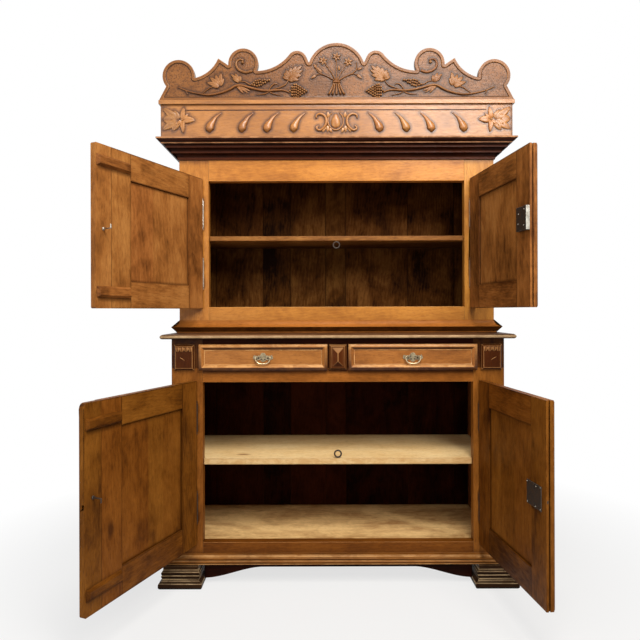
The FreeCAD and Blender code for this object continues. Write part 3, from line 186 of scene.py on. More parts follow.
# finishes of the wood: pale, middle and dark tones, and how rough, shiny, worn and patchy each is; the wear colour also
# paints highlights
woodFinishes = {
    "friezeOak": {"pale": (0.46, 0.2, 0.05), "middle": (0.31, 0.125, 0.026), "dark": (0.12, 0.04, 0.009),
                  "rough": (0.26, 0.42), "shine": 0.3, "coat": 0.3, "wear": (0.55, 0.28, 0.1), "contrast": 0.4},
    "crestOak": {"pale": (0.26, 0.11, 0.03), "middle": (0.18, 0.07, 0.016), "dark": (0.05, 0.018, 0.005),
                 "rough": (0.3, 0.46), "shine": 0.2, "coat": 0.1, "wear": (0.42, 0.2, 0.075), "contrast": 0.45},
    "honeyOak": {"pale": (0.62, 0.29, 0.055), "middle": (0.46, 0.19, 0.03), "dark": (0.2, 0.062, 0.008),
                 "rough": (0.30, 0.46), "shine": 0.15, "coat": 0.1, "wear": (0.72, 0.38, 0.11), "contrast": 0.45},
    "brownOak": {"pale": (0.37, 0.14, 0.024), "middle": (0.25, 0.089, 0.013), "dark": (0.09, 0.026, 0.003),
                 "rough": (0.30, 0.48), "shine": 0.07, "coat": 0.0, "wear": (0.48, 0.22, 0.06), "contrast": 0.5},
    "lowOak": {"pale": (0.23, 0.082, 0.01), "middle": (0.15, 0.048, 0.005), "dark": (0.05, 0.013, 0.0014),
               "rough": (0.32, 0.5), "shine": 0.08, "coat": 0.0, "wear": (0.45, 0.21, 0.07), "contrast": 0.5, "patchy": 0.5},
    "sideOak": {"pale": (0.35, 0.14, 0.03), "middle": (0.24, 0.089, 0.016), "dark": (0.09, 0.028, 0.004),
                "rough": (0.33, 0.5), "shine": 0.2, "coat": 0.05, "wear": (0.48, 0.24, 0.08), "contrast": 0.5},
    "darkOak": {"pale": (0.09, 0.023, 0.006), "middle": (0.055, 0.013, 0.0035), "dark": (0.014, 0.003, 0.0008),
                "rough": (0.24, 0.4), "shine": 0.06, "coat": 0.0, "wear": (0.46, 0.22, 0.1), "contrast": 0.35,
                "patchy": 0.4},
    # near black: dark oak under painted shade, for the rails behind the drawers and for the apron under the base
    # moulding
    "blackOakAndShade": {"pale": (0.05, 0.009, 0.0022), "middle": (0.032, 0.0055, 0.0012), "dark": (0.006, 0.0012, 0.0003),
                 "rough": (0.4, 0.55), "shine": 0.04, "coat": 0.0, "wear": (0.12, 0.045, 0.015), "contrast": 0.4},
    # the top is dark: painted shade on its surface below the moulding; its pale wear colour paints the lit and worn
    # front edge
    "topOak": {"pale": (0.13, 0.06, 0.024), "middle": (0.07, 0.03, 0.01), "dark": (0.025, 0.009, 0.003),
               "rough": (0.4, 0.55), "shine": 0.06, "coat": 0.0, "wear": (0.55, 0.37, 0.2), "contrast": 0.4,
               "patchy": 0.5},
    "blockOak": {"pale": (0.11, 0.028, 0.005), "middle": (0.06, 0.015, 0.0024), "dark": (0.02, 0.0045, 0.0008),
                 "rough": (0.26, 0.42), "shine": 0.06, "coat": 0.0, "wear": (0.42, 0.2, 0.07), "contrast": 0.3,
                 "patchy": 0.6},
    "footOak": {"pale": (0.06, 0.03, 0.012), "middle": (0.034, 0.015, 0.005), "dark": (0.008, 0.003, 0.001),
                "rough": (0.34, 0.5), "shine": 0.05, "coat": 0.0, "wear": (0.75, 0.53, 0.29), "contrast": 0.4,
                "patchy": 0.4},
    "baseOak": {"pale": (0.25, 0.09, 0.013), "middle": (0.16, 0.053, 0.006), "dark": (0.05, 0.013, 0.0014),
                "rough": (0.32, 0.5), "shine": 0.08, "coat": 0.0, "wear": (0.62, 0.34, 0.13), "contrast": 0.5,
                "patchy": 0.4},
    "drawerOak": {"pale": (0.44, 0.18, 0.042), "middle": (0.3, 0.113, 0.022), "dark": (0.09, 0.026, 0.005),
                  "rough": (0.26, 0.42), "shine": 0.15, "coat": 0.1, "wear": (0.7, 0.38, 0.14), "contrast": 0.45},
    "doorOak": {"pale": (0.42, 0.185, 0.047), "middle": (0.27, 0.102, 0.022), "dark": (0.07, 0.022, 0.004),
                "rough": (0.4, 0.58), "shine": 0.1, "coat": 0.0, "wear": (0.14, 0.055, 0.014), "contrast": 0.62},
    # darker than doorOak: partly darker wood, partly painted shade for the light that falls off lower down
    "lowDoorOakAndShade": {"pale": (0.25, 0.092, 0.012), "middle": (0.155, 0.052, 0.0055), "dark": (0.04, 0.011, 0.0012),
                   "rough": (0.4, 0.58), "shine": 0.06, "coat": 0.0, "wear": (0.06, 0.02, 0.003), "contrast": 0.62},
    # near black: dark oak with painted shade deeper than the lamps give inside the cases
    "insideOakAndShade": {"pale": (0.04, 0.009, 0.002), "middle": (0.022, 0.0045, 0.0009), "dark": (0.005, 0.001, 0.0002),
                  "rough": (0.5, 0.7), "shine": 0.02, "coat": 0.0, "wear": (0.1, 0.035, 0.009), "contrast": 0.7},
    "backOak": {"pale": (0.2, 0.085, 0.018), "middle": (0.095, 0.033, 0.0055), "dark": (0.012, 0.0035, 0.0006),
                "rough": (0.5, 0.7), "shine": 0.03, "coat": 0.0, "wear": (0.18, 0.08, 0.02), "contrast": 0.8},
    "shelfOak": {"pale": (0.5, 0.24, 0.06), "middle": (0.3, 0.125, 0.027), "dark": (0.1, 0.032, 0.006),
                 "rough": (0.42, 0.6), "shine": 0.12, "coat": 0.0, "wear": (0.66, 0.36, 0.13), "contrast": 0.6},
    "barePine": {"pale": (0.9, 0.7, 0.35), "middle": (0.8, 0.56, 0.24), "dark": (0.3, 0.14, 0.04),
                 "rough": (0.5, 0.68), "shine": 0.15, "coat": 0.0, "wear": (0.55, 0.3, 0.1), "contrast": 0.42},
}

def makeWood(name, sunkGround=None):
    finish = woodFinishes[name]
    material, tree, shader = newMaterial(name)
    grain = addNode(tree, "ShaderNodeAttribute", attribute_name="grainSpace")
    tone = addNode(tree, "ShaderNodeAttribute", attribute_name="boardTone").outputs["Fac"]
    wornAndLit = addNode(tree, "ShaderNodeAttribute", attribute_name="wearAndHighlight").outputs["Fac"]
    grime = addNode(tree, "ShaderNodeAttribute", attribute_name="grime").outputs["Fac"]
    figure = tree.nodes.new("ShaderNodeGroup")
    figure.node_tree = figureGroup
    tree.links.new(grain.outputs["Vector"], figure.inputs["Vector"])
    out = figure.outputs
    board = maths(tree, "MULTIPLY", maths(tree, "SUBTRACT", 0.5, tone), 0.7)
    shade = maths(tree, "ADD", maths(tree, "MULTIPLY", out["Figure"], finish["contrast"]), board)
    colour = mixColour(tree, mapRange(tree, shade, -0.5, 0.0), finish["dark"], finish["middle"])
    colour = mixColour(tree, mapRange(tree, shade, 0.0, 0.5), colour, finish["pale"])
    for mask, amount in (("Pores", 0.4), ("Knots", 0.8)):
        colour = mixColour(tree, maths(tree, "MULTIPLY", out[mask], amount), colour, finish["dark"])
    red = maths(tree, "FRACT", maths(tree, "MULTIPLY", tone, 7.3))
    colour = mixColour(tree, maths(tree, "MULTIPLY", red, 0.6), colour, (1.0, 0.84, 0.9), "MULTIPLY")
    # worn edges and painted highlights take the wear colour
    rubbedAndLit = maths(tree, "MULTIPLY", wornAndLit, mapRange(tree, out["Mottle"], 0.2, 0.8, 0.8, finish.get("patchy", 0.2)))
    colour = mixColour(tree, rubbedAndLit, colour, finish["wear"])
    # dirt and painted shade: corners, creases, undersides and bands out of the light are darkened towards near black
    settledAndShaded = maths(tree, "MULTIPLY", grime, mapRange(tree, out["Mottle"], 0.0, 1.0, 0.7, 1.0))
    dirtAndShadeColour = tuple(value * share for value, share in zip(finish["dark"], (0.35, 0.25, 0.3)))
    colour = mixColour(tree, settledAndShaded, colour, dirtAndShadeColour)
    height = maths(tree, "SUBTRACT", maths(tree, "MULTIPLY", out["Fibres"], 0.5), out["Pores"])
    if sunkGround is not None:  # punched ground between the carvings
        place = tree.nodes.new("ShaderNodeTexCoord").outputs["Object"]
        axes = tree.nodes.new("ShaderNodeSeparateXYZ")
        tree.links.new(place, axes.inputs[0])
        ground = mapRange(tree, axes.outputs["Y"], sunkGround - 0.0008, sunkGround - 0.0002)
        punch = tree.nodes.new("ShaderNodeTexVoronoi")
        tree.links.new(place, punch.inputs["Vector"])
        punch.inputs["Scale"].default_value = 120.0
        dots = mapRange(tree, punch.outputs["Distance"], 0.1, 0.55, 1.0, 0.0)
        dots = maths(tree, "MULTIPLY", dots, ground)
        colour = mixColour(tree, maths(tree, "MULTIPLY", dots, 0.75), colour, finish["dark"])
        height = maths(tree, "SUBTRACT", height, maths(tree, "MULTIPLY", dots, 3.0))
    tree.links.new(colour, shader.inputs["Base Color"])
    gloss = mapRange(tree, out["Fibres"], 0.0, 1.0, finish["rough"][1], finish["rough"][0])
    tree.links.new(gloss, shader.inputs["Roughness"])
    shader.inputs["Specular IOR Level"].default_value = finish["shine"]
    shader.inputs["Coat Weight"].default_value = finish["coat"]
    shader.inputs["Coat Roughness"].default_value = 0.25
    bump = addNode(tree, "ShaderNodeBump", Strength=0.22, Distance=0.0008)
    tree.links.new(height, bump.inputs["Height"])
    tree.links.new(bump.outputs["Normal"], shader.inputs["Normal"])
    return material


# worn metal: a base colour with rust or tarnish in the hollows and bright rubbed edges
patinaSizes = {"cloud": 60.0, "grit": 420.0}


def makePatinaGroup():
    group, start, end = newGroup("patina", [("Vector", "NodeSocketVector")], ("Cloud", "Grit"))
    cloud = noiseOf(group, start.outputs["Vector"], patinaSizes["cloud"], 5.0, 0.6)
    grit = noiseOf(group, start.outputs["Vector"], patinaSizes["grit"], 3.0, 0.6)
    group.links.new(mapRange(group, cloud, 0.35, 0.65), end.inputs["Cloud"])
    group.links.new(mapRange(group, grit, 0.3, 0.7), end.inputs["Grit"])
    return group


patinaGroup = makePatinaGroup()
metalFinishes = {
    "darkIron": {"base": (0.045, 0.04, 0.036), "stain": (0.085, 0.045, 0.024), "bright": (0.3, 0.28, 0.25),
                 "rough": (0.42, 0.7), "metallic": 0.85, "bump": 0.35},
    "brightSteel": {"base": (0.56, 0.53, 0.46), "stain": (0.24, 0.2, 0.15), "bright": (0.8, 0.77, 0.7),
                    "rough": (0.22, 0.45), "metallic": 1.0, "bump": 0.15},
    "dullBrass": {"base": (0.36, 0.29, 0.18), "stain": (0.12, 0.085, 0.045), "bright": (0.95, 0.9, 0.75),
                  "rough": (0.25, 0.5), "metallic": 1.0, "bump": 0.3},
    "paleBrass": {"base": (0.74, 0.62, 0.40), "stain": (0.26, 0.19, 0.10), "bright": (0.93, 0.86, 0.68),
                  "rough": (0.2, 0.42), "metallic": 1.0, "bump": 0.15},
}


def makeMetal(name):
    finish = metalFinishes[name]
    material, tree, shader = newMaterial(name)
    place = tree.nodes.new("ShaderNodeTexCoord").outputs["Object"]
    wornAndLit = addNode(tree, "ShaderNodeAttribute", attribute_name="wearAndHighlight").outputs["Fac"]
    patina = tree.nodes.new("ShaderNodeGroup")
    patina.node_tree = patinaGroup
    tree.links.new(place, patina.inputs["Vector"])
    colour = mixColour(tree, maths(tree, "MULTIPLY", patina.outputs["Cloud"], 0.7), finish["base"], finish["stain"])
    colour = mixColour(tree, maths(tree, "MULTIPLY", wornAndLit, 0.7), colour, finish["bright"])
    tree.links.new(colour, shader.inputs["Base Color"])
    rough = mapRange(tree, patina.outputs["Grit"], 0.0, 1.0, *finish["rough"])
    tree.links.new(rough, shader.inputs["Roughness"])
    shader.inputs["Metallic"].default_value = finish["metallic"]
    bump = addNode(tree, "ShaderNodeBump", Strength=finish["bump"], Distance=0.0004)
    tree.links.new(patina.outputs["Grit"], bump.inputs["Height"])
    tree.links.new(bump.outputs["Normal"], shader.inputs["Normal"])
    return material


crestGroundY = crestLow.y + 0.005
materials = {name: makeWood(name, crestGroundY if name == "crestOak" else None) for name in woodFinishes}
materials.update({name: makeMetal(name) for name in metalFinishes})
print("materials made:", len(materials))


# every wooden node is shown as a copy with eased edges, a tone for each board and its own grain direction
def islandsOf(bm):
    left = set(bm.verts)
    found = []
    while left:
        queue = [left.pop()]
        island = []
        while queue:
            vert = queue.pop()
            island.append(vert)
            for edge in vert.link_edges:
                other = edge.other_vert(vert)
                if other in left:
                    left.remove(other)
                    queue.append(other)
        found.append(island)
    return found


def layGrain(bm, turn, forced, chance, tones=(0.25, 0.75), battens=False):
    grain = bm.verts.layers.float_vector.new("grainSpace")
    tone = bm.verts.layers.float.new("boardTone")
    for island in islandsOf(bm):
        axes = [turn.col[index] for index in range(3)]
        spread = [max(vert.co @ axis for vert in island) - min(vert.co @ axis for vert in island) for axis in axes]
        along = forced if forced is not None else max(range(3), key=lambda index: spread[index])
        across = [index for index in range(3) if index != along]
        offset = Vector((chance.random() * 9, chance.random() * 9, chance.random() * 9))
        shade = chance.uniform(*tones) + (0.45 if battens and max(spread) < 0.3 else 0.0)
        for vert in island:
            vert[grain] = Vector((vert.co @ axes[across[0]], vert.co @ axes[across[1]], vert.co @ axes[along])) + offset
            vert[tone] = shade


def joinBoards(bm, across, joints):  # a panel glued from boards of unlike tone
    tone = bm.verts.layers.float["boardTone"]
    low, high = min(vert.co @ across for vert in bm.verts), max(vert.co @ across for vert in bm.verts)
    for share, shift in joints:
        level = low + (high - low) * share
        for side in (-0.0003, 0.0003):
            bmesh.ops.bisect_plane(bm, geom=bm.verts[:] + bm.edges[:] + bm.faces[:], dist=1e-6,
                                   plane_co=across * (level + side), plane_no=across)
        for vert in bm.verts:
            if vert.co @ across > level:
                vert[tone] += shift


def solidsOf(mesh):  # a node's triangles come solid by solid, and a solid is whole once every edge has met its partner
    waiting = set()
    found = [[]]
    for polygon in mesh.polygons:
        corners = [tuple(mesh.vertices[index].co) for index in polygon.vertices]
        for first, second in zip(corners, corners[1:] + corners[:1]):
            if (second, first) in waiting:
                waiting.remove((second, first))
            else:
                waiting.add((first, second))
        found[-1].append(polygon.index)
        if not waiting:
            found.append([])
    return [group for group in found if group]


def mergeSolids(name):
    bm = bmesh.new()
    bm.from_mesh(nodes[name].data)
    bm.faces.ensure_lookup_table()
    groups = [dict.fromkeys(vert for index in group for vert in bm.faces[index].verts)
              for group in solidsOf(nodes[name].data)]
    for group in groups:
        bmesh.ops.remove_doubles(bm, verts=list(group), dist=1e-5)
    bmesh.ops.dissolve_limit(bm, angle_limit=math.radians(0.5), verts=bm.verts, edges=bm.edges)
    return bm


def easeEdges(bm, width, crease, mitred, segments=3):
    wear = bm.verts.layers.float.new("wearAndHighlight")
    bm.verts.layers.float.new("grime")
    limit = math.radians(crease)
    creased = [edge for edge in bm.edges if len(edge.link_faces) == 2 and edge.calc_face_angle(0) > limit]
    for edge in creased:
        edge.smooth = False
    mitres = {edge for face in bm.faces if mitred and abs(face.normal.x * face.normal.y) > 0.4 for edge in face.edges}
    eased = [edge for edge in creased if edge not in mitres]
    for edge in eased:
        edge.smooth = True
    made = bmesh.ops.bevel(bm, geom=eased, offset=width, offset_type="OFFSET", segments=segments, profile=0.5,
                           affect="EDGES", clamp_overlap=True, material=-1)
    bm.normal_update()
    strip = set(made["faces"])
    grime = bm.verts.layers.float["grime"]
    for vert in made["verts"]:
        if not vert.is_valid:
            continue
        rise = sum((edge.other_vert(vert).co - vert.co).normalized() @ vert.normal for edge in vert.link_edges)
        if rise > 0.1:  # a hollow corner gets painted shade and dirt, a standing edge is rubbed
            vert[grime] = 0.7
        elif rise < -0.1 and all(face in strip for face in vert.link_faces):
            vert[wear] = 1.0
    bmesh.ops.dissolve_degenerate(bm, dist=1e-6, edges=bm.edges)


bodyTrees = {}


def bodyTree(body):
    if body not in bodyTrees:
        spots, faces = [], []
        for name, item in nodes.items():
            if nodeBody[name] == body:
                start = len(spots)
                spots += [vert.co.copy() for vert in item.data.vertices]
                faces += [[start + index for index in polygon.vertices] for polygon in item.data.polygons]
        bodyTrees[body] = bvhtree.BVHTree.FromPolygons(spots, faces)
    return bodyTrees[body]


# short rays from each vertex find the corners and joints, which get painted shade as ambient occlusion would give,
# together with the dirt that gathers there
creviceSizes = {"reach": 0.035, "margins": ((0.0015, 0.006), (0.004, 0.02), (0.012, 0.06)),
                "doorMargins": ((0.005, 0.02), (0.014, 0.06)), "gain": 1.9, "free": 0.16}
creviceRays = [Vector((math.cos(turn) * flat, math.sin(turn) * flat, math.sqrt(1 - flat * flat)))
               for flat, count, shift in ((0.0, 1, 0), (0.5, 5, 0.3), (0.85, 8, 0)) for turn in
               (shift + 2 * math.pi * index / count for index in range(count))]


def cutGrid(bm, turn, across, up):  # long faces are cut up, so that painted shade and dirt can follow what stands near them
    wear = bm.verts.layers.float["wearAndHighlight"]
    grime = bm.verts.layers.float["grime"]
    before = set(bm.verts)
    for axis, spacing in ((turn.col[0], across), (turn.col[2], up)):
        low, high = min(vert.co @ axis for vert in bm.verts), max(vert.co @ axis for vert in bm.verts)
        for step in range(1, int((high - low) / spacing)):
            bmesh.ops.bisect_plane(bm, geom=bm.verts[:] + bm.edges[:] + bm.faces[:], dist=1e-6,
                                   plane_co=axis * (low + step * spacing), plane_no=axis)
    for vert in set(bm.verts) - before:
        first = vert.link_faces[0].normal
        if all(face.normal @ first > 0.9999 for face in vert.link_faces):
            vert[wear] = vert[grime] = 0.0


def layCrevices(bm, body, lift, margins, outline, grid):
    wear = bm.verts.layers.float["wearAndHighlight"]
    grime = bm.verts.layers.float["grime"]
    for step, (margin, least) in enumerate(margins):
        broad = [face for face in bm.faces if 2 * face.calc_area() / face.calc_perimeter() > least
                 and min(loop.calc_angle() for loop in face.loops) > 0.45
                 and (face.normal.z > -0.9 or all(loop.is_convex for loop in face.loops))]
        for vert in {vert for face in broad if step == 0 for vert in face.verts}:
            vert[grime], vert[wear] = max(vert[grime], outline), max(vert[wear], -outline)
        bmesh.ops.inset_individual(bm, faces=broad, thickness=margin, use_even_offset=True)
        for vert in {vert for face in broad for vert in face.verts}:
            vert[wear] = vert[grime] = 0.0
    bm.normal_update()
    if grid:
        cutGrid(bm, doorTurn.get(body, Matrix.Identity(3)), *grid)
    tree = bodyTree(body)
    reach = creviceSizes["reach"]
    for vert in bm.verts:
        turn = vert.normal.to_track_quat("Z", "Y")
        start = vert.co + vert.normal * lift
        hits = [tree.ray_cast(start, turn @ ray, reach)[3] for ray in creviceRays]
        closed = sum(1 - far / reach for far in hits if far is not None) / len(hits)
        # painted shade and dirt grow with how closed in the vertex is
        shadeAndDirt = max(0.0, closed - creviceSizes["free"]) * creviceSizes["gain"]
        vert[grime] = min(1.0, max(vert[grime], shadeAndDirt))
        vert[wear] *= max(0.0, 1 - 2 * shadeAndDirt)


def roundCorners(bm, turn, low, high):  # the free corners of a door strip are worn round
    bm.normal_update()
    out = turn.col[0]
    far = max(vert.co @ out for vert in bm.verts)
    levels = [vert.co.z for vert in bm.verts if vert.co @ out > far - 1e-4]
    for level, radius in ((min(levels), low), (max(levels), high)):
        corner = [edge for edge in bm.edges if all(vert.co @ out > far - 1e-4 and abs(vert.co.z - level) < 1e-4
                                                   for vert in edge.verts)]
        bmesh.ops.bevel(bm, geom=corner, offset=radius, offset_type="OFFSET", segments=6, profile=0.5, affect="EDGES",
                        clamp_overlap=True, material=-1)


def shapeApron(bm, values):  # its lower edge sinks in a double curve towards the feet
    half = max(vert.co.x for vert in bm.verts) - midX
    top = max(vert.co.z for vert in bm.verts)
    for vert in bm.verts:
        if vert.co.z < top - 1e-4:
            share = max(0.0, 1 - (half - abs(vert.co.x - midX)) / values["length"])
            vert.co.z = values["middle"] - values["drop"] * share ** 2 * (3 - 2 * share)


def roundRim(bm, radius):  # the outer edge of a drawer front
    front = min(vert.co.y for vert in bm.verts) + 1e-4
    ahead = [vert.co.copy() for vert in bm.verts if vert.co.y < front]
    for axis in (0, 2):  # the flat ring is cut into four-sided faces
        level = sorted(co[axis] for co in ahead)
        inner = [place for place in level if level[0] + 1e-4 < place < level[-1] - 1e-4]
        for place in (inner[0], inner[-1]):
            ring = [face for face in bm.faces if all(vert.co.y < front for vert in face.verts)]
            cut = dict.fromkeys(item for face in ring for item in (face, *face.edges, *face.verts))
            bmesh.ops.bisect_plane(bm, geom=list(cut), dist=1e-6, plane_no=(axis == 0, 0, axis == 2),
                                   plane_co=[place] * 3)
    skew = [edge for edge in bm.edges if all(vert.co.y < front for vert in edge.verts)
            and all(abs(edge.verts[0].co[axis] - edge.verts[1].co[axis]) > 1e-4 for axis in (0, 2))]
    bmesh.ops.dissolve_edges(bm, edges=skew, use_verts=True)
    rim = []
    for axis in (0, 2):
        for level in (min(co[axis] for co in ahead), max(co[axis] for co in ahead)):
            rim += [edge for edge in bm.edges
                    if all(vert.co.y < front and abs(vert.co[axis] - level) < 1e-4 for vert in edge.verts)]
    bmesh.ops.bevel(bm, geom=rim, offset=radius, offset_type="OFFSET", segments=6, profile=0.5, affect="EDGES",
                    clamp_overlap=True, material=-1)


def paintDrawerLight(bm, rim):  # painted light: highlights on the top of the rim and on the lower slope, which looks up; painted shade on the bottom of the rim, fading up its sides, and on the upper slope, which looks down
    wear = bm.verts.layers.float["wearAndHighlight"]
    grime = bm.verts.layers.float["grime"]
    front = min(vert.co.y for vert in bm.verts)
    ahead = [vert.co for vert in bm.verts if vert.co.y < front + 1e-4]
    low = Vector([min(co[axis] for co in ahead) - rim for axis in range(3)])
    high = Vector([max(co[axis] for co in ahead) + rim for axis in range(3)])
    for vert in bm.verts:
        outer = min(vert.co.x - low.x, high.x - vert.co.x, vert.co.z - low.z, high.z - vert.co.z)
        if vert.normal.y > -0.1:
            continue
        if outer < rim and high.z - vert.co.z < rim + 1e-4:
            vert[wear], vert[grime] = 0.55, 0.0
        elif outer < rim:
            vert[grime] = max(vert[grime], 0.95 if vert.co.z - low.z < rim else 0.65 * (1 - outer / rim))
        elif vert.normal.z > 0.25:
            vert[wear], vert[grime] = 0.75, 0.0
        elif vert.normal.z < -0.25:
            vert[grime] = max(vert[grime], 0.85)


def paintDiamondLight(bm):  # painted light: the facets that look up get a painted highlight, those that look down painted shade
    wear = bm.verts.layers.float["wearAndHighlight"]
    grime = bm.verts.layers.float["grime"]
    for face in bm.faces:
        if abs(face.calc_center_median().x - midX) < 0.06 and -0.99 < face.normal.y < -0.5:
            for vert in face.verts:
                vert[wear] = max(vert[wear], min(0.7, 2.5 * face.normal.z))
                vert[grime] = max(vert[grime], min(0.6, -2 * face.normal.z))


def markFillets(bm, fillet):  # narrow upright faces between two creases
    mark = bm.faces.layers.int.new("fillet")
    for face in bm.faces:
        levels = [vert.co.z for vert in face.verts]
        creases = [edge for edge in face.edges if abs(edge.verts[0].co.z - edge.verts[1].co.z) < 1e-5
                   and len(edge.link_faces) == 2 and edge.calc_face_angle(0) > 0.3]
        face[mark] = abs(face.normal.z) < 0.1 and max(levels) - min(levels) < fillet and len(creases) > 1


def paintMouldingLightAndWear(bm, rounded, rubbedAndLit):  # painted highlights on fillets and on faces that look up, painted shade on faces that look down; the rounded edge of the top is pale, worn and lit
    wear = bm.verts.layers.float["wearAndHighlight"]
    grime = bm.verts.layers.float["grime"]
    mark = bm.faces.layers.int["fillet"]
    for face in bm.faces:
        for vert in face.verts:
            if face[mark]:
                vert[wear] = 1.0
            else:
                vert[grime] = max(vert[grime], min(0.85, -1.6 * face.normal.z))
    for vert in {vert for face in bm.faces if face[mark] for vert in face.verts}:
        vert[grime] = 0.0
    for vert in bm.verts:
        if rounded and -0.6 < vert.normal.z < 0.7:
            vert[wear], vert[grime] = 1.0, 0.0
        elif rubbedAndLit and vert.normal.y > -0.2:
            vert[wear] = 0.0
    for face in bm.faces:
        if rubbedAndLit and face.normal.z > 0.2 and face.normal.y < -0.2:
            middle = face.calc_center_median().z
            for vert in face.verts:
                vert[wear] = rubbedAndLit if vert.co.z > middle else 0.0


def toObject(bm, name, material):
    mesh = bpy.data.meshes.new(name)
    bm.to_mesh(mesh)
    bm.free()
    mesh.polygons.foreach_set("use_smooth", [True] * len(mesh.polygons))
    mesh.materials.append(material)
    item = bpy.data.objects.new(name, mesh)
    bpy.context.scene.collection.objects.link(item)
    flat = item.modifiers.new("flatFaces", "WEIGHTED_NORMAL")  # keeps broad faces flat beside their eased edges
    flat.keep_sharp = True
    return item


# carving is drawn as (across, up) on a face and stands out of it towards the front
def onFace(face, across, up, out=0.0):
    return Vector((midX + across, face["y"] - out, face["z"] + up))


def startCarving():
    bm = bmesh.new()
    bm.verts.layers.float.new("wearAndHighlight")
    bm.verts.layers.float.new("grime")
    return bm


def addRope(bm, face, path, width, taper=(0.5, 1.0, 0.35), relief=0.9):
    data = bpy.data.curves.new("rope", "CURVE")
    data.dimensions = "3D"
    data.bevel_depth = width / 2
    data.bevel_resolution = 2
    data.resolution_u = 4
    data.use_fill_caps = True
    spline = data.splines.new("NURBS")
    spline.points.add(len(path) - 1)
    for index, (across, up) in enumerate(path):
        place = index / (len(path) - 1) * (len(taper) - 1)
        first = min(int(place), len(taper) - 2)
        point = spline.points[index]
        point.co = (across, 0, up, 1)
        point.radius = taper[first] + (taper[first + 1] - taper[first]) * (place - first)
    spline.use_endpoint_u = True
    spline.order_u = 3
    item = bpy.data.objects.new("rope", data)
    mesh = bpy.data.meshes.new_from_object(item)
    mesh.transform(Matrix.Translation(onFace(face, 0, 0)) @ Matrix.Diagonal((1, relief * 2, 1, 1)))
    bm.from_mesh(mesh)
    bpy.data.meshes.remove(mesh)
    bpy.data.objects.remove(item)
    bpy.data.curves.remove(data)


def addBlade(bm, face, root, tip, width, out, cleft=0.45, rubAndGlint=0.55):  # a leaf lobe, petal or drop with pointed ends
    wear = bm.verts.layers.float["wearAndHighlight"]
    start, end = Vector(root), Vector(tip)
    made = bmesh.ops.create_uvsphere(bm, u_segments=12, v_segments=8, radius=1.0)["verts"]
    for vert in made:
        side, deep, along = vert.co
        slim = (1 - 0.4 * along) * (0.8 if abs(along) > 0.9 else 1.0)
        hollow = 1 - cleft * math.exp(-(side / 0.3) ** 2) if deep < 0 else 1
        vert.co = (side * slim * width / 2, deep * hollow * out, along * (end - start).length / 2)
        # the outer faces of a lobe are rubbed and carry a painted highlight
        vert[wear] = rubAndGlint if deep < -0.3 and abs(side) > 0.3 else 0.0
    turn = Matrix.Rotation(math.atan2(end.x - start.x, end.y - start.y), 4, "Y")
    middle = (start + end) / 2
    bmesh.ops.transform(bm, matrix=Matrix.Translation(onFace(face, middle.x, middle.y)) @ turn, verts=made)


def addBerry(bm, face, across, up, radius, out=0.8):
    wear = bm.verts.layers.float["wearAndHighlight"]
    made = bmesh.ops.create_icosphere(bm, subdivisions=1, radius=radius)["verts"]
    for vert in made:
        # the front of each berry carries wear and a painted highlight
        vert[wear] = 0.9 if vert.co.y < -0.5 * radius else 0.0
    bmesh.ops.transform(bm, matrix=Matrix.Translation(onFace(face, across, up)) @ Matrix.Diagonal((1, out * 2, 1, 1)),
                        verts=made)


def addBunch(bm, face, stalk, tip, width, radius):  # grapes packed in a diamond along a line
    start, end = Vector(stalk), Vector(tip)
    along = (end - start).normalized()
    side = Vector((-along.y, along.x))
    rows = round((end - start).length / (radius * 1.62))
    for row in range(rows + 1):
        share = row / rows
        half = width / 2 * min(1, share * 3.2 + 0.25, (1 - share) * 1.5 + 0.12)
        count = max(1, round(2 * half / (radius * 2)))
        for index in range(count):
            offset = (index - (count - 1) / 2) * radius * 1.95
            spot = start + along * (end - start).length * share + side * offset
            addBerry(bm, face, spot.x, spot.y, radius, 0.75 + 0.35 * (1 - abs(offset) / (width / 2 + 1e-6)))


def addFan(bm, face, root, tips, width, out, cleft=0.45):
    for tip in tips:
        addBlade(bm, face, root, tip, width, out, cleft)


def mirrored(path):
    return [(-across, up) for across, up in path]


def endCarving(bm, name, body, material, forced=0, ground=None):
    bmesh.ops.remove_doubles(bm, verts=bm.verts, dist=1e-6)
    bmesh.ops.recalc_face_normals(bm, faces=bm.faces)
    grime = bm.verts.layers.float["grime"]
    for vert in bm.verts:
        if ground is not None:  # painted shade and old wax round the foot of each form
            vert[grime] = max(0.0, min(0.9, 1.1 - (ground - vert.co.y) / 0.0035))
    layGrain(bm, Matrix.Identity(3), forced, random.Random(name), (0.3, 0.5))
    item = toObject(bm, name, material)
    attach(item, body)
    return item


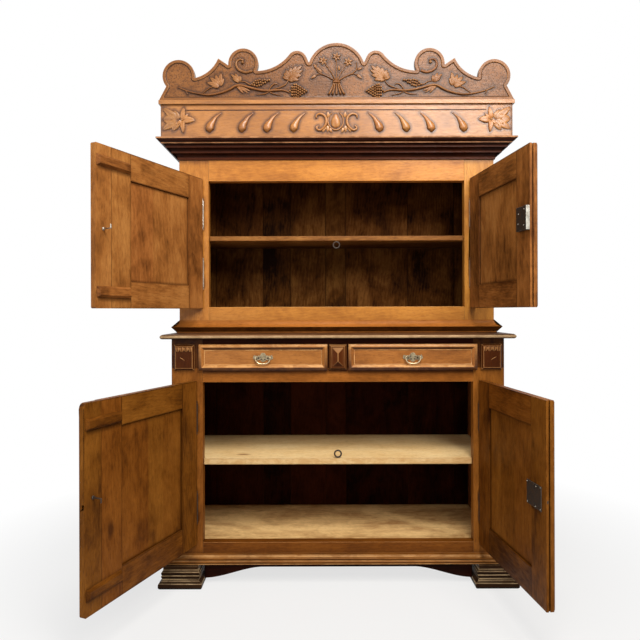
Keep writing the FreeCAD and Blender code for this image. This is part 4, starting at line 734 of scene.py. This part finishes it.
crestFace = {"y": crestGroundY, "z": crestLow.z}
crestCarving = {
    "stem": [(-0.688, 0.058), (-0.652, 0.042), (-0.611, 0.032), (-0.562, 0.024), (-0.523, 0.029), (-0.484, 0.040),
             (-0.460, 0.052), (-0.436, 0.067), (-0.407, 0.065), (-0.368, 0.053), (-0.334, 0.045), (-0.295, 0.042),
             (-0.261, 0.045), (-0.227, 0.046), (-0.203, 0.034)],
    "twigs": [[(-0.657, 0.046), (-0.652, 0.036), (-0.648, 0.027)],
              [(-0.585, 0.031), (-0.560, 0.051), (-0.543, 0.060), (-0.515, 0.066)],
              [(-0.424, 0.083), (-0.397, 0.084), (-0.387, 0.073), (-0.363, 0.065), (-0.338, 0.064)],
              [(-0.207, 0.097), (-0.216, 0.073), (-0.234, 0.062), (-0.257, 0.054), (-0.292, 0.044)],
              [(-0.297, 0.042), (-0.289, 0.056), (-0.275, 0.071), (-0.260, 0.075), (-0.253, 0.066)],
              [(-0.349, 0.026), (-0.319, 0.027), (-0.300, 0.034), (-0.290, 0.042)],
              [(-0.300, 0.042), (-0.283, 0.032), (-0.266, 0.027), (-0.239, 0.021)]],
    "leaves": [{"root": (-0.510, 0.064), "width": 0.021, "tips": [(-0.566, 0.080), (-0.552, 0.103), (-0.528, 0.114),
                                                                   (-0.502, 0.123), (-0.491, 0.098), (-0.547, 0.066)]},
               {"root": (-0.422, 0.082), "width": 0.016, "tips": [(-0.462, 0.116), (-0.443, 0.121), (-0.420, 0.110),
                                                                   (-0.455, 0.097)]},
               {"root": (-0.434, 0.064), "width": 0.011, "tips": [(-0.416, 0.043), (-0.404, 0.030), (-0.382, 0.032),
                                                                   (-0.372, 0.040)]},
               {"root": (-0.207, 0.097), "width": 0.021, "tips": [(-0.236, 0.102), (-0.230, 0.120), (-0.220, 0.134),
                                                                   (-0.197, 0.145), (-0.172, 0.153), (-0.149, 0.154),
                                                                   (-0.144, 0.135), (-0.150, 0.112), (-0.163, 0.089),
                                                                   (-0.188, 0.082)]}],
    "bunches": [((-0.368, 0.069), (-0.293, 0.088), 0.040), ((-0.203, 0.041), (-0.131, 0.040), 0.064)],
    "berry": 0.0058, "stemWidth": 0.011, "twigWidth": 0.0075, "leafOut": 0.0085,
    "volute": {"centre": (-0.409, 0.166), "width": 0.013,
               "turns": [(-40, 0.055), (-62, 0.050), (-84, 0.042), (-108, 0.037), (-134, 0.034), (-160, 0.031),
                         (-188, 0.027), (-220, 0.021), (-258, 0.014), (-300, 0.009)]},
    "flowers": [(0.000, 0.190), (-0.058, 0.173), (0.051, 0.168)], "petal": 0.021,
    "sprigs": [[(0.000, 0.080), (0.000, 0.130), (0.000, 0.185)], [(0.000, 0.080), (-0.020, 0.125), (-0.058, 0.170)],
               [(0.000, 0.080), (0.018, 0.125), (0.051, 0.165)],
               [(0.000, 0.082), (-0.040, 0.106), (-0.070, 0.116), (-0.090, 0.110), (-0.108, 0.098)],
               [(0.000, 0.082), (0.040, 0.106), (0.072, 0.117), (0.090, 0.110), (0.108, 0.098)],
               [(-0.060, 0.113), (-0.080, 0.122), (-0.090, 0.140), (-0.084, 0.166)],
               [(0.060, 0.113), (0.080, 0.124), (0.092, 0.142), (0.086, 0.166)]],
    "buds": [((-0.062, 0.120), (-0.092, 0.150)), ((0.012, 0.130), (0.010, 0.155)), ((0.090, 0.134), (0.114, 0.142)),
             ((-0.088, 0.112), (-0.112, 0.094)), ((0.088, 0.112), (0.112, 0.094)), ((-0.086, 0.140), (-0.100, 0.160))],
    "stalks": [-0.034, -0.018, 0.0, 0.018, 0.034],
}


def carveCrest():
    bm = startCarving()
    values = crestCarving
    for flip in (list, mirrored):
        addRope(bm, crestFace, flip(values["stem"]), values["stemWidth"], (0.45, 0.9, 1.0, 1.0, 0.6))
        for twig in values["twigs"]:
            addRope(bm, crestFace, flip(twig), values["twigWidth"], (0.5, 1.0, 0.4))
        for leaf in values["leaves"]:
            addFan(bm, crestFace, flip([leaf["root"]])[0], flip(leaf["tips"]), leaf["width"], values["leafOut"])
        for stalk, tip, width in values["bunches"]:
            addBunch(bm, crestFace, *flip([stalk, tip]), width, values["berry"])
        middle = values["volute"]["centre"]
        curl = [(middle[0] + far * math.cos(math.radians(turn)), middle[1] + far * math.sin(math.radians(turn)))
                for turn, far in values["volute"]["turns"]]
        addRope(bm, crestFace, flip(curl), values["volute"]["width"], (0.9, 1.0, 0.8, 0.6), 0.6)
        addBerry(bm, crestFace, *flip([middle])[0], 0.008)
    for sprig in values["sprigs"]:
        addRope(bm, crestFace, sprig, values["twigWidth"], (0.9, 0.7, 0.5))
    for across, up in values["flowers"]:
        for index in range(6):
            turn = math.radians(60 * index + 12)
            tip = (across + values["petal"] * math.sin(turn), up + values["petal"] * math.cos(turn))
            addBlade(bm, crestFace, (across, up), tip, 0.010, 0.007)
        addBerry(bm, crestFace, across, up, 0.0048, 1.1)
    for root, tip in values["buds"]:
        addBlade(bm, crestFace, root, tip, 0.012, 0.007)
    for across in values["stalks"]:
        addRope(bm, crestFace, [(across * 0.35, 0.080), (across * 0.5, 0.055), (across, 0.026)], 0.010, (0.7, 0.8, 1.1))
    addRope(bm, crestFace, [(-0.017, 0.081), (0.0, 0.078), (0.017, 0.081)], 0.010, (0.9, 1.0, 0.9), 1.2)
    return endCarving(bm, "crestCarving", "carcase", materials["crestOak"], 0, crestGroundY)


friezeFace = {"y": crestLow.y, "z": 0.0}
friezeCarving = {
    "bulbs": [-0.552, -0.411, -0.302, -0.186], "tail": 0.050, "low": 1.929, "high": 2.014, "dropWidth": 0.040,
    "endLeaf": {"root": (-0.691, 1.983), "lobes": [((-0.757, 2.038), 0.034), ((-0.712, 2.027), 0.036),
                                                   ((-0.757, 1.987), 0.052), ((-0.757, 1.941), 0.034),
                                                   ((-0.713, 1.936), 0.036)]},
    "endFlower": {"root": (-0.673, 1.985), "lobes": [((-0.664, 2.039), 0.022), ((-0.616, 1.984), 0.032),
                                                     ((-0.667, 1.927), 0.022), ((-0.643, 2.009), 0.013),
                                                     ((-0.698, 1.957), 0.013)]},
    "scroll": [(-0.088, 1.990), (-0.091, 2.000), (-0.078, 2.010), (-0.060, 2.008), (-0.046, 1.992), (-0.043, 1.973),
               (-0.052, 1.952), (-0.070, 1.936), (-0.087, 1.941), (-0.087, 1.954), (-0.078, 1.956)],
    "egg": (-0.004, 1.978), "eggSize": (0.044, 0.064),
    "sprays": [((-0.036, 1.992), (-0.038, 2.020)), ((-0.038, 1.960), (-0.040, 1.928)), ((-0.030, 1.950), (-0.022, 1.926)),
               ((-0.048, 1.955), (-0.062, 1.928))],
    "grooveHeight": 2.0265, "groove": (-0.665, 0.649), "grooveWidth": 0.0045, "grooveDepth": 0.003,
}


def carveFrieze():
    bm = startCarving()
    values = friezeCarving
    for flip in (list, mirrored):
        for bulb in values["bulbs"]:
            low, rise = values["low"], values["high"] - values["low"]
            drop = [(bulb, low), (bulb - 0.002, low + rise * 0.12), (bulb + 0.001, low + rise * 0.32),
                    (bulb + 0.014, low + rise * 0.56), (bulb + 0.026, low + rise * 0.8), (bulb + values["tail"], low + rise)]
            addRope(bm, friezeFace, flip(drop), values["dropWidth"], (0.15, 0.95, 0.95, 0.55, 0.3, 0.12), 0.4)
        for piece, out in (("endLeaf", 0.007), ("endFlower", 0.0105)):
            root = values[piece]["root"]
            for tip, width in values[piece]["lobes"]:
                addBlade(bm, friezeFace, *flip([root, tip]), width, out, 0.6, 0.35)
        addBerry(bm, friezeFace, *flip([root])[0], 0.006)
        addRope(bm, friezeFace, flip(values["scroll"]), 0.013, (0.6, 0.9, 1.1, 0.9, 0.6), 0.7)
        for root, tip in values["sprays"]:
            addBlade(bm, friezeFace, *flip([root, tip]), 0.014, 0.007)
    across, up = values["egg"]
    wide, tall = values["eggSize"]
    addBlade(bm, friezeFace, (across, up - tall / 2), (across, up + tall / 2), wide * 0.9, 0.011, 0.0)
    ring = [(across + wide * 0.78 * math.sin(turn), up - tall * 0.62 * math.cos(turn))
            for turn in (math.radians(step) for step in range(-150, 151, 20))]
    addRope(bm, friezeFace, ring, 0.009, (0.6, 1.0, 0.6), 0.8)
    return endCarving(bm, "friezeCarving", "carcase", materials["friezeOak"], 0, crestLow.y)


carvings = {"crest_board": (carveCrest(), crestGroundY), "frieze_board": (carveFrieze(), crestLow.y)}


# painted shade and old wax lie dark on the ground beside the carving and along the ground's edges
def layWaxAndShade(bm, faceY, carving, spacing=0.006, reach=0.011):
    ground = [face for face in bm.faces if face.normal.y < -0.99 and abs(face.calc_center_median().y - faceY) < 1e-4]
    spread = [vert.co for face in ground for vert in face.verts]
    for axis, normal in ((0, (1, 0, 0)), (2, (0, 0, 1))):
        low, high = min(co[axis] for co in spread), max(co[axis] for co in spread)
        for step in range(1, int((high - low) / spacing)):
            level = Vector((0, 0, 0))
            level[axis] = low + step * spacing
            cut = dict.fromkeys(item for face in ground for item in (face, *face.edges, *face.verts))
            bmesh.ops.bisect_plane(bm, geom=list(cut), dist=1e-6, plane_co=level, plane_no=normal)
            ground = [face for face in bm.faces if face.normal.y < -0.99
                      and abs(face.calc_center_median().y - faceY) < 1e-4]
    near = kdtree.KDTree(len(carving.data.vertices))
    for index, vert in enumerate(carving.data.vertices):
        near.insert(Vector((vert.co.x, 0, vert.co.z)), index)
    near.balance()
    grime = bm.verts.layers.float["grime"]
    inside = set(ground)
    for vert in {vert for face in ground for vert in face.verts}:
        distance = near.find(Vector((vert.co.x, 0, vert.co.z)))[2]
        vert[grime] = max(0.0, 1.15 - distance / reach)
        if not all(face in inside for face in vert.link_faces):
            vert[grime] = max(vert[grime], 0.8)


def paintShadowBand(bm, low, high, fade):  # a band painted dark as a shadow, with a little dirt
    grime = bm.verts.layers.float["grime"]
    for level in (low - fade, low, high, high + fade):
        bmesh.ops.bisect_plane(bm, geom=bm.verts[:] + bm.edges[:] + bm.faces[:], dist=1e-6, plane_co=(0, 0, level),
                               plane_no=(0, 0, 1))
    for vert in bm.verts:
        if low - 1e-5 < vert.co.z < high + 1e-5:
            vert[grime] = 1.0


def cutGroove(bm, values):  # the straight line cut above the drops
    level, deep, half = values["grooveHeight"], values["grooveDepth"], values["grooveWidth"] / 2
    grime = bm.verts.layers.float["grime"]
    start, end = (midX + across for across in values["groove"])
    for spot, normal in [((0, 0, level + step * half), (0, 0, 1)) for step in (-1.6, -1, 0, 1, 1.6)] + [
            ((across, 0, 0), (1, 0, 0)) for across in (start, end)]:
        ground = [face for face in bm.faces if face.normal.y < -0.99 and abs(face.calc_center_median().z - level) < 0.03]
        near = dict.fromkeys(item for face in ground for item in (*face.verts, *face.edges, face))
        bmesh.ops.bisect_plane(bm, geom=list(near), dist=1e-6, plane_co=spot, plane_no=normal)
    for vert in bm.verts:
        if vert.normal.y < -0.9 and start - 1e-5 < vert.co.x < end + 1e-5 and abs(vert.co.z - level) < half * 1.1:
            # the groove is painted dark as shade
            vert[grime] = 1.0
            if abs(vert.co.z - level) < 1e-5:
                vert.co.y += deep


def dressNode(name, finish, width=0.0015, forced=None, tones=(0.25, 0.75)):
    bm = mergeSolids(name)
    metal = finish in metalFinishes
    if name in mouldingFillets:
        markFillets(bm, mouldingFillets[name])
    if name == "apron":
        shapeApron(bm, apronCurve)
    if "door_hook" in name:  # just clear of the strip that it turns on
        bmesh.ops.translate(bm, verts=bm.verts, vec=doorTurn[name[:5] + "_left_door"].col[1] * ironSizes["clear"])
    if name == "shelf_hook_eyes":
        bm.normal_update()
        for vert in bm.verts:
            vert.co += vert.normal * ironSizes["swell"]
    if name in roundedRims:
        roundRim(bm, roundedRims[name])
    if name in roundedCorners:
        roundCorners(bm, doorTurn[nodeBody[name]], *roundedCorners[name])
    easeEdges(bm, width, 38 if metal else 10 if "panel" in name else 18, name in mouldingFillets)
    body = nodeBody[name]
    if name in carvings:
        layWaxAndShade(bm, carvings[name][1], carvings[name][0])
        if name == "frieze_board":
            cutGroove(bm, friezeCarving)
    elif not metal:
        margins = creviceSizes["doorMargins" if "door" in name else "margins"]
        # the doors get an outline of dirt and painted shade round their faces; the blocks get a rubbed pale border
        outline = 0.75 if "door" in name else -0.6 if name == "drawer_band_blocks" else 0.0
        layCrevices(bm, body, 0.0005 + 0.5 * width, margins, outline, gridSpacing.get(name))
    if name in mouldingFillets:
        paintMouldingLightAndWear(bm, name == "buffet_top", highlightedForms.get(name))
    if name in roundedRims:
        paintDrawerLight(bm, roundedRims[name])
    if name in ("lower_shelf", "lower_floor"):  # the front faces take the wear colour, darker than the pine
        wornAndLit = bm.verts.layers.float["wearAndHighlight"]
        for vert in bm.verts:
            vert[wornAndLit] = 0.8 if vert.normal.y < -0.6 else 0.0
    if name == "drawer_band_blocks":
        paintDiamondLight(bm)
    if name in shadowBands:
        paintShadowBand(bm, *shadowBands[name])
    layGrain(bm, doorTurn.get(body, Matrix.Identity(3)), forced, random.Random(name), tones, "false_stile" in name)
    if name in boardJoints:
        joinBoards(bm, doorTurn[body].col[0], boardJoints[name])
    words = name.split("_")
    item = toObject(bm, words[0] + "".join(word.capitalize() for word in words[1:]) + "Look", materials[finish])
    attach(item, body)
    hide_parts(name)
    return item


mouldingFillets = {"cornice": 0.009, "base_moulding": 0.007, "feet": 0.012, "upper_base_moulding": 0.004,
                   "buffet_top": 0.006}
ironSizes = {"clear": 0.0003, "swell": 0.0012}
# how pale the painted highlights are on the faces that look up
highlightedForms = {"feet": 0.85, "base_moulding": 0.8}
# painted shadow bands, low, high and fade: behind the drawers under the top, and the drawers' shadow on the rail below
shadowBands = {"lower_front_posts": (0.914, 1.036, 0.004), "under_drawer_rail": (0.9, 0.912, 0.015)}
gridSpacing = {"lower_front_posts": (0.012, 0.03), "upper_front_posts": (0.012, 0.03),
               "upper_left_false_stile": (0.012, 0.02), "lower_left_false_stile": (0.012, 0.02)}
roundedCorners = {"lower_left_false_stile": (0.008, 0.017), "upper_left_false_stile": (0.006, 0.006)}
apronCurve = {"length": 0.25, "middle": 0.07, "drop": 0.046}
roundedRims = {"left_drawer_front": 0.0075, "right_drawer_front": 0.0075}
# where the boards of a panel meet, as a share of its width, and how much darker it is from there on
boardJoints = {"lower_left_door_panel": ((0.34, -0.17), (0.57, 0.12)), "upper_left_door_panel": ((0.62, -0.06),),
               "lower_right_door_panel": ((0.4, 0.1), (0.72, -0.16)), "upper_right_door_panel": ((0.45, -0.12),)}
# finish of each node: edge radius in metres and, where it matters, the axis that its grain follows
nodeFinishes = {
    "friezeOak": {"frieze_board": 0.0012},
    "crestOak": {"crest_board": 0.003},
    "honeyOak": {"upper_front_posts": 0.0015, "upper_bottom_rail": 0.0015, "upper_top_rail": 0.0015},
    "brownOak": {"under_drawer_rail": 0.0015, "lower_front_posts": 0.0015, "upper_base_moulding": 0.0012},
    "lowOak": {"bottom_rail": 0.0015},
    "baseOak": {"base_moulding": 0.0008},
    "sideOak": {"rear_posts": 0.0015, "side_rails": 0.001, "side_panels": 0.0008},
    "darkOak": {"cornice": 0.0008},
    # painted shade behind the drawers and under the base moulding
    "blackOakAndShade": {"drawer_top_rail": 0.001, "drawer_divider": 0.001, "apron": 0.0015},
    "topOak": {"buffet_top": 0.001},
    "blockOak": {"drawer_band_blocks": 0.0012},
    "footOak": {"feet": 0.0022},
    "drawerOak": {"left_drawer_front": 0.0015, "right_drawer_front": 0.0015},
    "insideOakAndShade": {"upper_floor": 0.001, "upper_ceiling": 0.001, "shelf_cleats": 0.001, "lower_back_boards": 0.0015,
                  "drawer_runners": 0.001, "crest_braces": 0.001},
    "backOak": {"upper_back_boards": 0.0015},
    "shelfOak": {"upper_shelf": 0.0025, "left_drawer_box": 0.001, "right_drawer_box": 0.001},
    "barePine": {"lower_floor": 0.0015, "lower_shelf": 0.0025},
    "darkIron": {"hinge_post_leaves": 0.0004, "lower_lock_case": 0.0005, "lower_lock_bolt": 0.0005,
                 "lower_door_hook": 0.0005, "shelf_hook_eyes": 0.0004, "upper_lock_case": 0.0006,
                 "lower_left_door_hinges": 0.0004, "lower_right_door_hinges": 0.0004},
    "brightSteel": {"upper_lock_bolt": 0.0005, "upper_door_hook": 0.0005, "upper_left_door_hinges": 0.0004,
                    "upper_right_door_hinges": 0.0004},
    "dullBrass": {"left_handle_plate": 0.0005, "right_handle_plate": 0.0005},
    "paleBrass": {"left_handle_bail": 0.0004, "right_handle_bail": 0.0004},
    "doorOak": {},
    "lowDoorOakAndShade": {},
}
grainAxes = {"drawer_band_blocks": 2, "drawer_divider": 2, "side_panels": 2, "feet": 0}
# tones of single boards, higher is darker; the right doors are darker than the left ones, partly painted shade on the
# doors that face away from the key lamp; the apron's darkest tone is painted shade under the base moulding
boardTones = {"upper_back_boards": (0.1, 1.0), "lower_back_boards": (0.1, 1.0), "upper_left_false_stile": (0.3, 0.35),
              "lower_left_false_stile": (0.4, 0.45), "upper_left_door_panel": (0.42, 0.48), "frieze_board": (0.4, 0.5),
              "upper_right_door_panel": (0.52, 0.58), "crest_board": (0.45, 0.5), "upper_left_door_frame": (0.4, 0.7),
              "upper_right_door_frame": (0.5, 0.9), "lower_left_door_frame": (0.35, 0.65), "upper_top_rail": (0.5, 0.6), "upper_base_moulding": (0.1, 0.15),
              "lower_right_door_frame": (0.5, 0.8), "left_drawer_front": (0.4, 0.45), "upper_bottom_rail": (0.45, 0.5),
              "right_drawer_front": (0.45, 0.5), "upper_front_posts": (0.5, 0.7), "lower_front_posts": (0.5, 0.7),
              "apron": (1.0, 1.0), "lower_floor": (0.65, 0.8), "lower_shelf": (0.15, 0.25)}
for case, finish in (("upper", "doorOak"), ("lower", "lowDoorOakAndShade")):
    for side in ("left", "right"):
        nodeFinishes[finish][f"{case}_{side}_door_frame"] = 0.0018
        gridSpacing[f"{case}_{side}_door_frame"] = (0.015, 0.02)
        nodeFinishes[finish][f"{case}_{side}_door_panel"] = 0.0012
        grainAxes[f"{case}_{side}_door_panel"] = 2
    nodeFinishes[finish][f"{case}_left_false_stile"] = 0.0018
looks = {}
for finish, members in nodeFinishes.items():
    for name, width in members.items():
        looks[name] = dressNode(name, finish, width, grainAxes.get(name), boardTones.get(name, (0.25, 0.75)))

# the upper hinges take bright steel, their post halves too
postLeaves = looks["hinge_post_leaves"].data
postLeaves.materials.append(materials["brightSteel"])
for polygon in postLeaves.polygons:
    polygon.material_index = 1 if polygon.center.z > bandHigh.z else 0
print("nodes dressed:", len(looks), "of", len(nodes))


# a fine bead runs round the sunk field of each drawer
beadSizes = {"fromEdge": 0.0245, "sinking": 0.009, "width": 0.0045}


def addBead(side):
    low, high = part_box(f"{side}_drawer_front")
    inset = beadSizes["fromEdge"]
    data = bpy.data.curves.new("bead", "CURVE")
    data.dimensions = "3D"
    data.bevel_depth = beadSizes["width"] / 2
    data.bevel_resolution = 2
    spline = data.splines.new("POLY")
    spline.points.add(3)
    spline.use_cyclic_u = True
    corners = ((low.x + inset, low.z + inset), (high.x - inset, low.z + inset),
               (high.x - inset, high.z - inset), (low.x + inset, high.z - inset))
    for point, (across, up) in zip(spline.points, corners):
        point.co = (across, low.y + beadSizes["sinking"], up, 1)
    curve = bpy.data.objects.new("bead", data)
    mesh = bpy.data.meshes.new_from_object(curve)
    bm = startCarving()
    wear = bm.verts.layers.float["wearAndHighlight"]
    bm.from_mesh(mesh)
    bpy.data.meshes.remove(mesh)
    bpy.data.objects.remove(curve)
    bpy.data.curves.remove(data)
    for vert in bm.verts:
        # the front of the bead carries wear and a painted highlight
        vert[wear] = 1.0 if vert.co.y < low.y + beadSizes["sinking"] - beadSizes["width"] * 0.3 else 0.0
    endCarving(bm, f"{side}DrawerBead", f"{side}_drawer", materials["drawerOak"])


for side in ("left", "right"):
    addBead(side)

# piercings of the pull plates, painted as dark ovals of shade: across, up, half width and half height
platePiercings = {"holes": ((-0.020, -0.003, 0.0056, 0.0036), (-0.0075, -0.008, 0.0036, 0.003),
                            (0.0075, -0.008, 0.0036, 0.003), (0.020, -0.003, 0.005, 0.0036),
                            (-0.0095, 0.0015, 0.003, 0.002), (0.0095, 0.0015, 0.003, 0.002)), "thickness": 0.002}


def piercePlate(side):
    low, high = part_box(f"{side}_handle_plate")
    bm = startCarving()
    for across, up, wide, tall in platePiercings["holes"]:
        place = Vector(((low.x + high.x) / 2 + across, high.y - platePiercings["thickness"], (low.z + high.z) / 2 + up))
        bmesh.ops.create_icosphere(bm, subdivisions=2, radius=1.0,
                                   matrix=Matrix.Translation(place) @ Matrix.Diagonal((wide, 0.0003, tall, 1)))
    endCarving(bm, f"{side}PlatePiercings", f"{side}_drawer", materials["darkIron"])


for side in ("left", "right"):
    piercePlate(side)

# leaf carving on the end blocks: a scalloped top and one raised vein
blockCarving = {"width": 0.086, "thickness": 0.016, "scallops": (-0.028, -0.010, 0.008, 0.026), "top": 0.044,
                "vein": [(-0.019, 0.002), (-0.010, -0.003), (0.003, -0.012)]}


def carveBlocks():
    low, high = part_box("drawer_band_blocks")
    values = blockCarving
    bm = startCarving()
    wear = bm.verts.layers.float["wearAndHighlight"]
    for middle, flip in ((low.x + values["width"] / 2, list), (high.x - values["width"] / 2, mirrored)):
        face = {"y": lowerFront - values["thickness"], "z": (low.z + high.z) / 2}
        shift = middle - midX
        for across in values["scallops"]:
            lobe = flip([(across, values["top"]), (across + 0.003, values["top"] - 0.022)])
            addBlade(bm, face, *[(shift + spot, up) for spot, up in lobe], 0.019, 0.0045, 0.2, 0.9)
        made = len(bm.verts)
        addRope(bm, face, [(shift + spot, up) for spot, up in flip(values["vein"])], 0.0045, (0.4, 1.0, 0.4), 0.8)
        # the vein is painted as a highlight
        for vert in list(bm.verts)[made:]:
            vert[wear] = 1.0
    endCarving(bm, "blockCarving", "carcase", materials["blockOak"], 2)


carveBlocks()

# nails on the locks, and the bright strip on the edge of the upper one
nailSizes = {"radius": 0.0024, "upper_lock_case": ((0.2, 0.3), (0.25, 0.72), (0.75, 0.2), (0.8, 0.86)),
             "lower_lock_case": ((0.05, 0.07), (0.05, 0.93), (0.62, 0.08), (0.64, 0.9), (0.94, 0.95), (0.94, 0.07))}


def doorSpace(body):
    return Matrix.Translation(doorPin[body]) @ doorTurn[body].to_4x4()


def addNails(name):
    body = nodeBody[name]
    space = doorSpace(body)
    spots = [space.inverted() @ vert.co for vert in nodes[name].data.vertices]
    low = Vector([min(spot[axis] for spot in spots) for axis in range(3)])
    high = Vector([max(spot[axis] for spot in spots) for axis in range(3)])
    bm = startCarving()
    for across, up in nailSizes[name]:
        place = Vector((high.x + (low.x - high.x) * across, high.y, low.z + (high.z - low.z) * up))
        turn = space @ Matrix.Translation(place) @ Matrix.Diagonal((1, 0.6, 1, 1))
        bmesh.ops.create_icosphere(bm, subdivisions=2, radius=nailSizes["radius"], matrix=turn)
    endCarving(bm, "".join(name.title().split("_")) + "Nails", body, materials["brightSteel"])


for name in ("upper_lock_case", "lower_lock_case"):
    addNails(name)
lockCase = looks["upper_lock_case"].data
lockCase.materials.append(materials["brightSteel"])
towardsEdge = doorTurn["upper_right_door"] @ Vector((-1, 0, 0))
for polygon in lockCase.polygons:
    polygon.material_index = 1 if polygon.normal.dot(towardsEdge) > 0.8 else 0
print("beads, block carving and nails added")


# white floor that keeps the shadow near the cabinet and runs out into white, with a white surround for the camera
stageSizes = {"floorRadius": 14.0, "shadowStart": 0.9, "shadowEnd": 2.0, "paleness": 0.72}


def seenRay(tree):  # rays that see the surround: from the camera, off a shiny face or through a clear one
    light = tree.nodes.new("ShaderNodeLightPath")
    seen = maths(tree, "ADD", light.outputs["Is Camera Ray"], light.outputs["Is Glossy Ray"], clamp=True)
    return maths(tree, "ADD", seen, light.outputs["Is Transmission Ray"], clamp=True)


def makeFloor():
    bm = bmesh.new()
    bmesh.ops.create_circle(bm, cap_ends=True, segments=96, radius=stageSizes["floorRadius"])
    mesh = bpy.data.meshes.new("floor")
    bm.to_mesh(mesh)
    bm.free()
    floor = bpy.data.objects.new("floor", mesh)
    bpy.context.scene.collection.objects.link(floor)
    material, tree, shader = newMaterial("paleFloor")
    shader.inputs["Base Color"].default_value = (0.6, 0.59, 0.58, 1)
    shader.inputs["Roughness"].default_value = 0.9
    place = tree.nodes.new("ShaderNodeTexCoord").outputs["Object"]
    middle = tree.nodes.new("ShaderNodeVectorMath")
    middle.operation = "DISTANCE"
    tree.links.new(place, middle.inputs[0])
    middle.inputs[1].default_value = (midX, lowerFront + 0.15, 0)
    far = mapRange(tree, middle.outputs["Value"], stageSizes["shadowStart"], stageSizes["shadowEnd"],
                   stageSizes["paleness"], 1.0)
    white = tree.nodes.new("ShaderNodeEmission")
    mix = tree.nodes.new("ShaderNodeMixShader")
    tree.links.new(maths(tree, "MULTIPLY", far, seenRay(tree)), mix.inputs[0])
    tree.links.new(shader.outputs[0], mix.inputs[1])
    tree.links.new(white.outputs[0], mix.inputs[2])
    tree.links.new(mix.outputs[0], tree.nodes["Material Output"].inputs["Surface"])
    mesh.materials.append(material)


makeFloor()
world = bpy.data.worlds.new("studio")
bpy.context.scene.world = world
world.use_nodes = True
tree = world.node_tree
room = tree.nodes["Background"]
room.inputs["Color"].default_value = (1.0, 0.97, 0.93, 1)
room.inputs["Strength"].default_value = 0.1
surround = addNode(tree, "ShaderNodeBackground", Strength=1.0)
surround.inputs["Color"].default_value = (1, 1, 1, 1)
mix = tree.nodes.new("ShaderNodeMixShader")
tree.links.new(seenRay(tree), mix.inputs[0])
tree.links.new(room.outputs[0], mix.inputs[1])
tree.links.new(surround.outputs[0], mix.inputs[2])
tree.links.new(mix.outputs[0], tree.nodes["World Output"].inputs["Surface"])

# lamps: a soft one above on the right, a fill from the left front, and one overhead that reaches the shelves
lamps = {
    "keyLamp": {"place": (1.1, -2.6, 2.9), "aim": (0.0, 0.1, 1.6), "size": 1.2, "power": 76, "colour": (1, 0.96, 0.9)},
    "fillLamp": {"place": (-1.7, -3.0, 1.9), "aim": (0.3, 0.0, 1.2), "size": 2.2, "power": 34, "colour": (1, 0.98, 0.95)},
    "topLamp": {"place": (0.2, -2.1, 3.7), "aim": (0.0, 0.0, 0.6), "size": 1.0, "power": 80, "colour": (1, 0.97, 0.92)},
}
for name, lamp in lamps.items():
    data = bpy.data.lights.new(name, "AREA")
    data.energy = lamp["power"]
    data.size = lamp["size"]
    data.color = lamp["colour"]
    item = bpy.data.objects.new(name, data)
    origin = Vector((midX, lowerFront + 0.25, 0))
    item.location = origin + Vector(lamp["place"])
    item.rotation_mode = "QUATERNION"
    item.rotation_quaternion = (Vector(lamp["aim"]) - Vector(lamp["place"])).to_track_quat("-Z", "Y")
    bpy.context.scene.collection.objects.link(item)

# camera, level and nearly square to the front
cameraSizes = {"across": -0.0746, "before": 2.4236, "height": 1.154, "lens": 32.37, "shift": -0.0148, "roll": 0.0028}
data = bpy.data.cameras.new("camera")
data.lens = cameraSizes["lens"]
data.sensor_width = 36
data.shift_y = cameraSizes["shift"]
camera = bpy.data.objects.new("camera", data)
camera.location = (midX + cameraSizes["across"], lowerFront - cameraSizes["before"], cameraSizes["height"])
camera.rotation_euler = (math.pi / 2, cameraSizes["roll"], 0)
bpy.context.scene.collection.objects.link(camera)
bpy.context.scene.camera = camera
bpy.context.scene.view_settings.view_transform = "Standard"
print("stage, lamps and camera set")
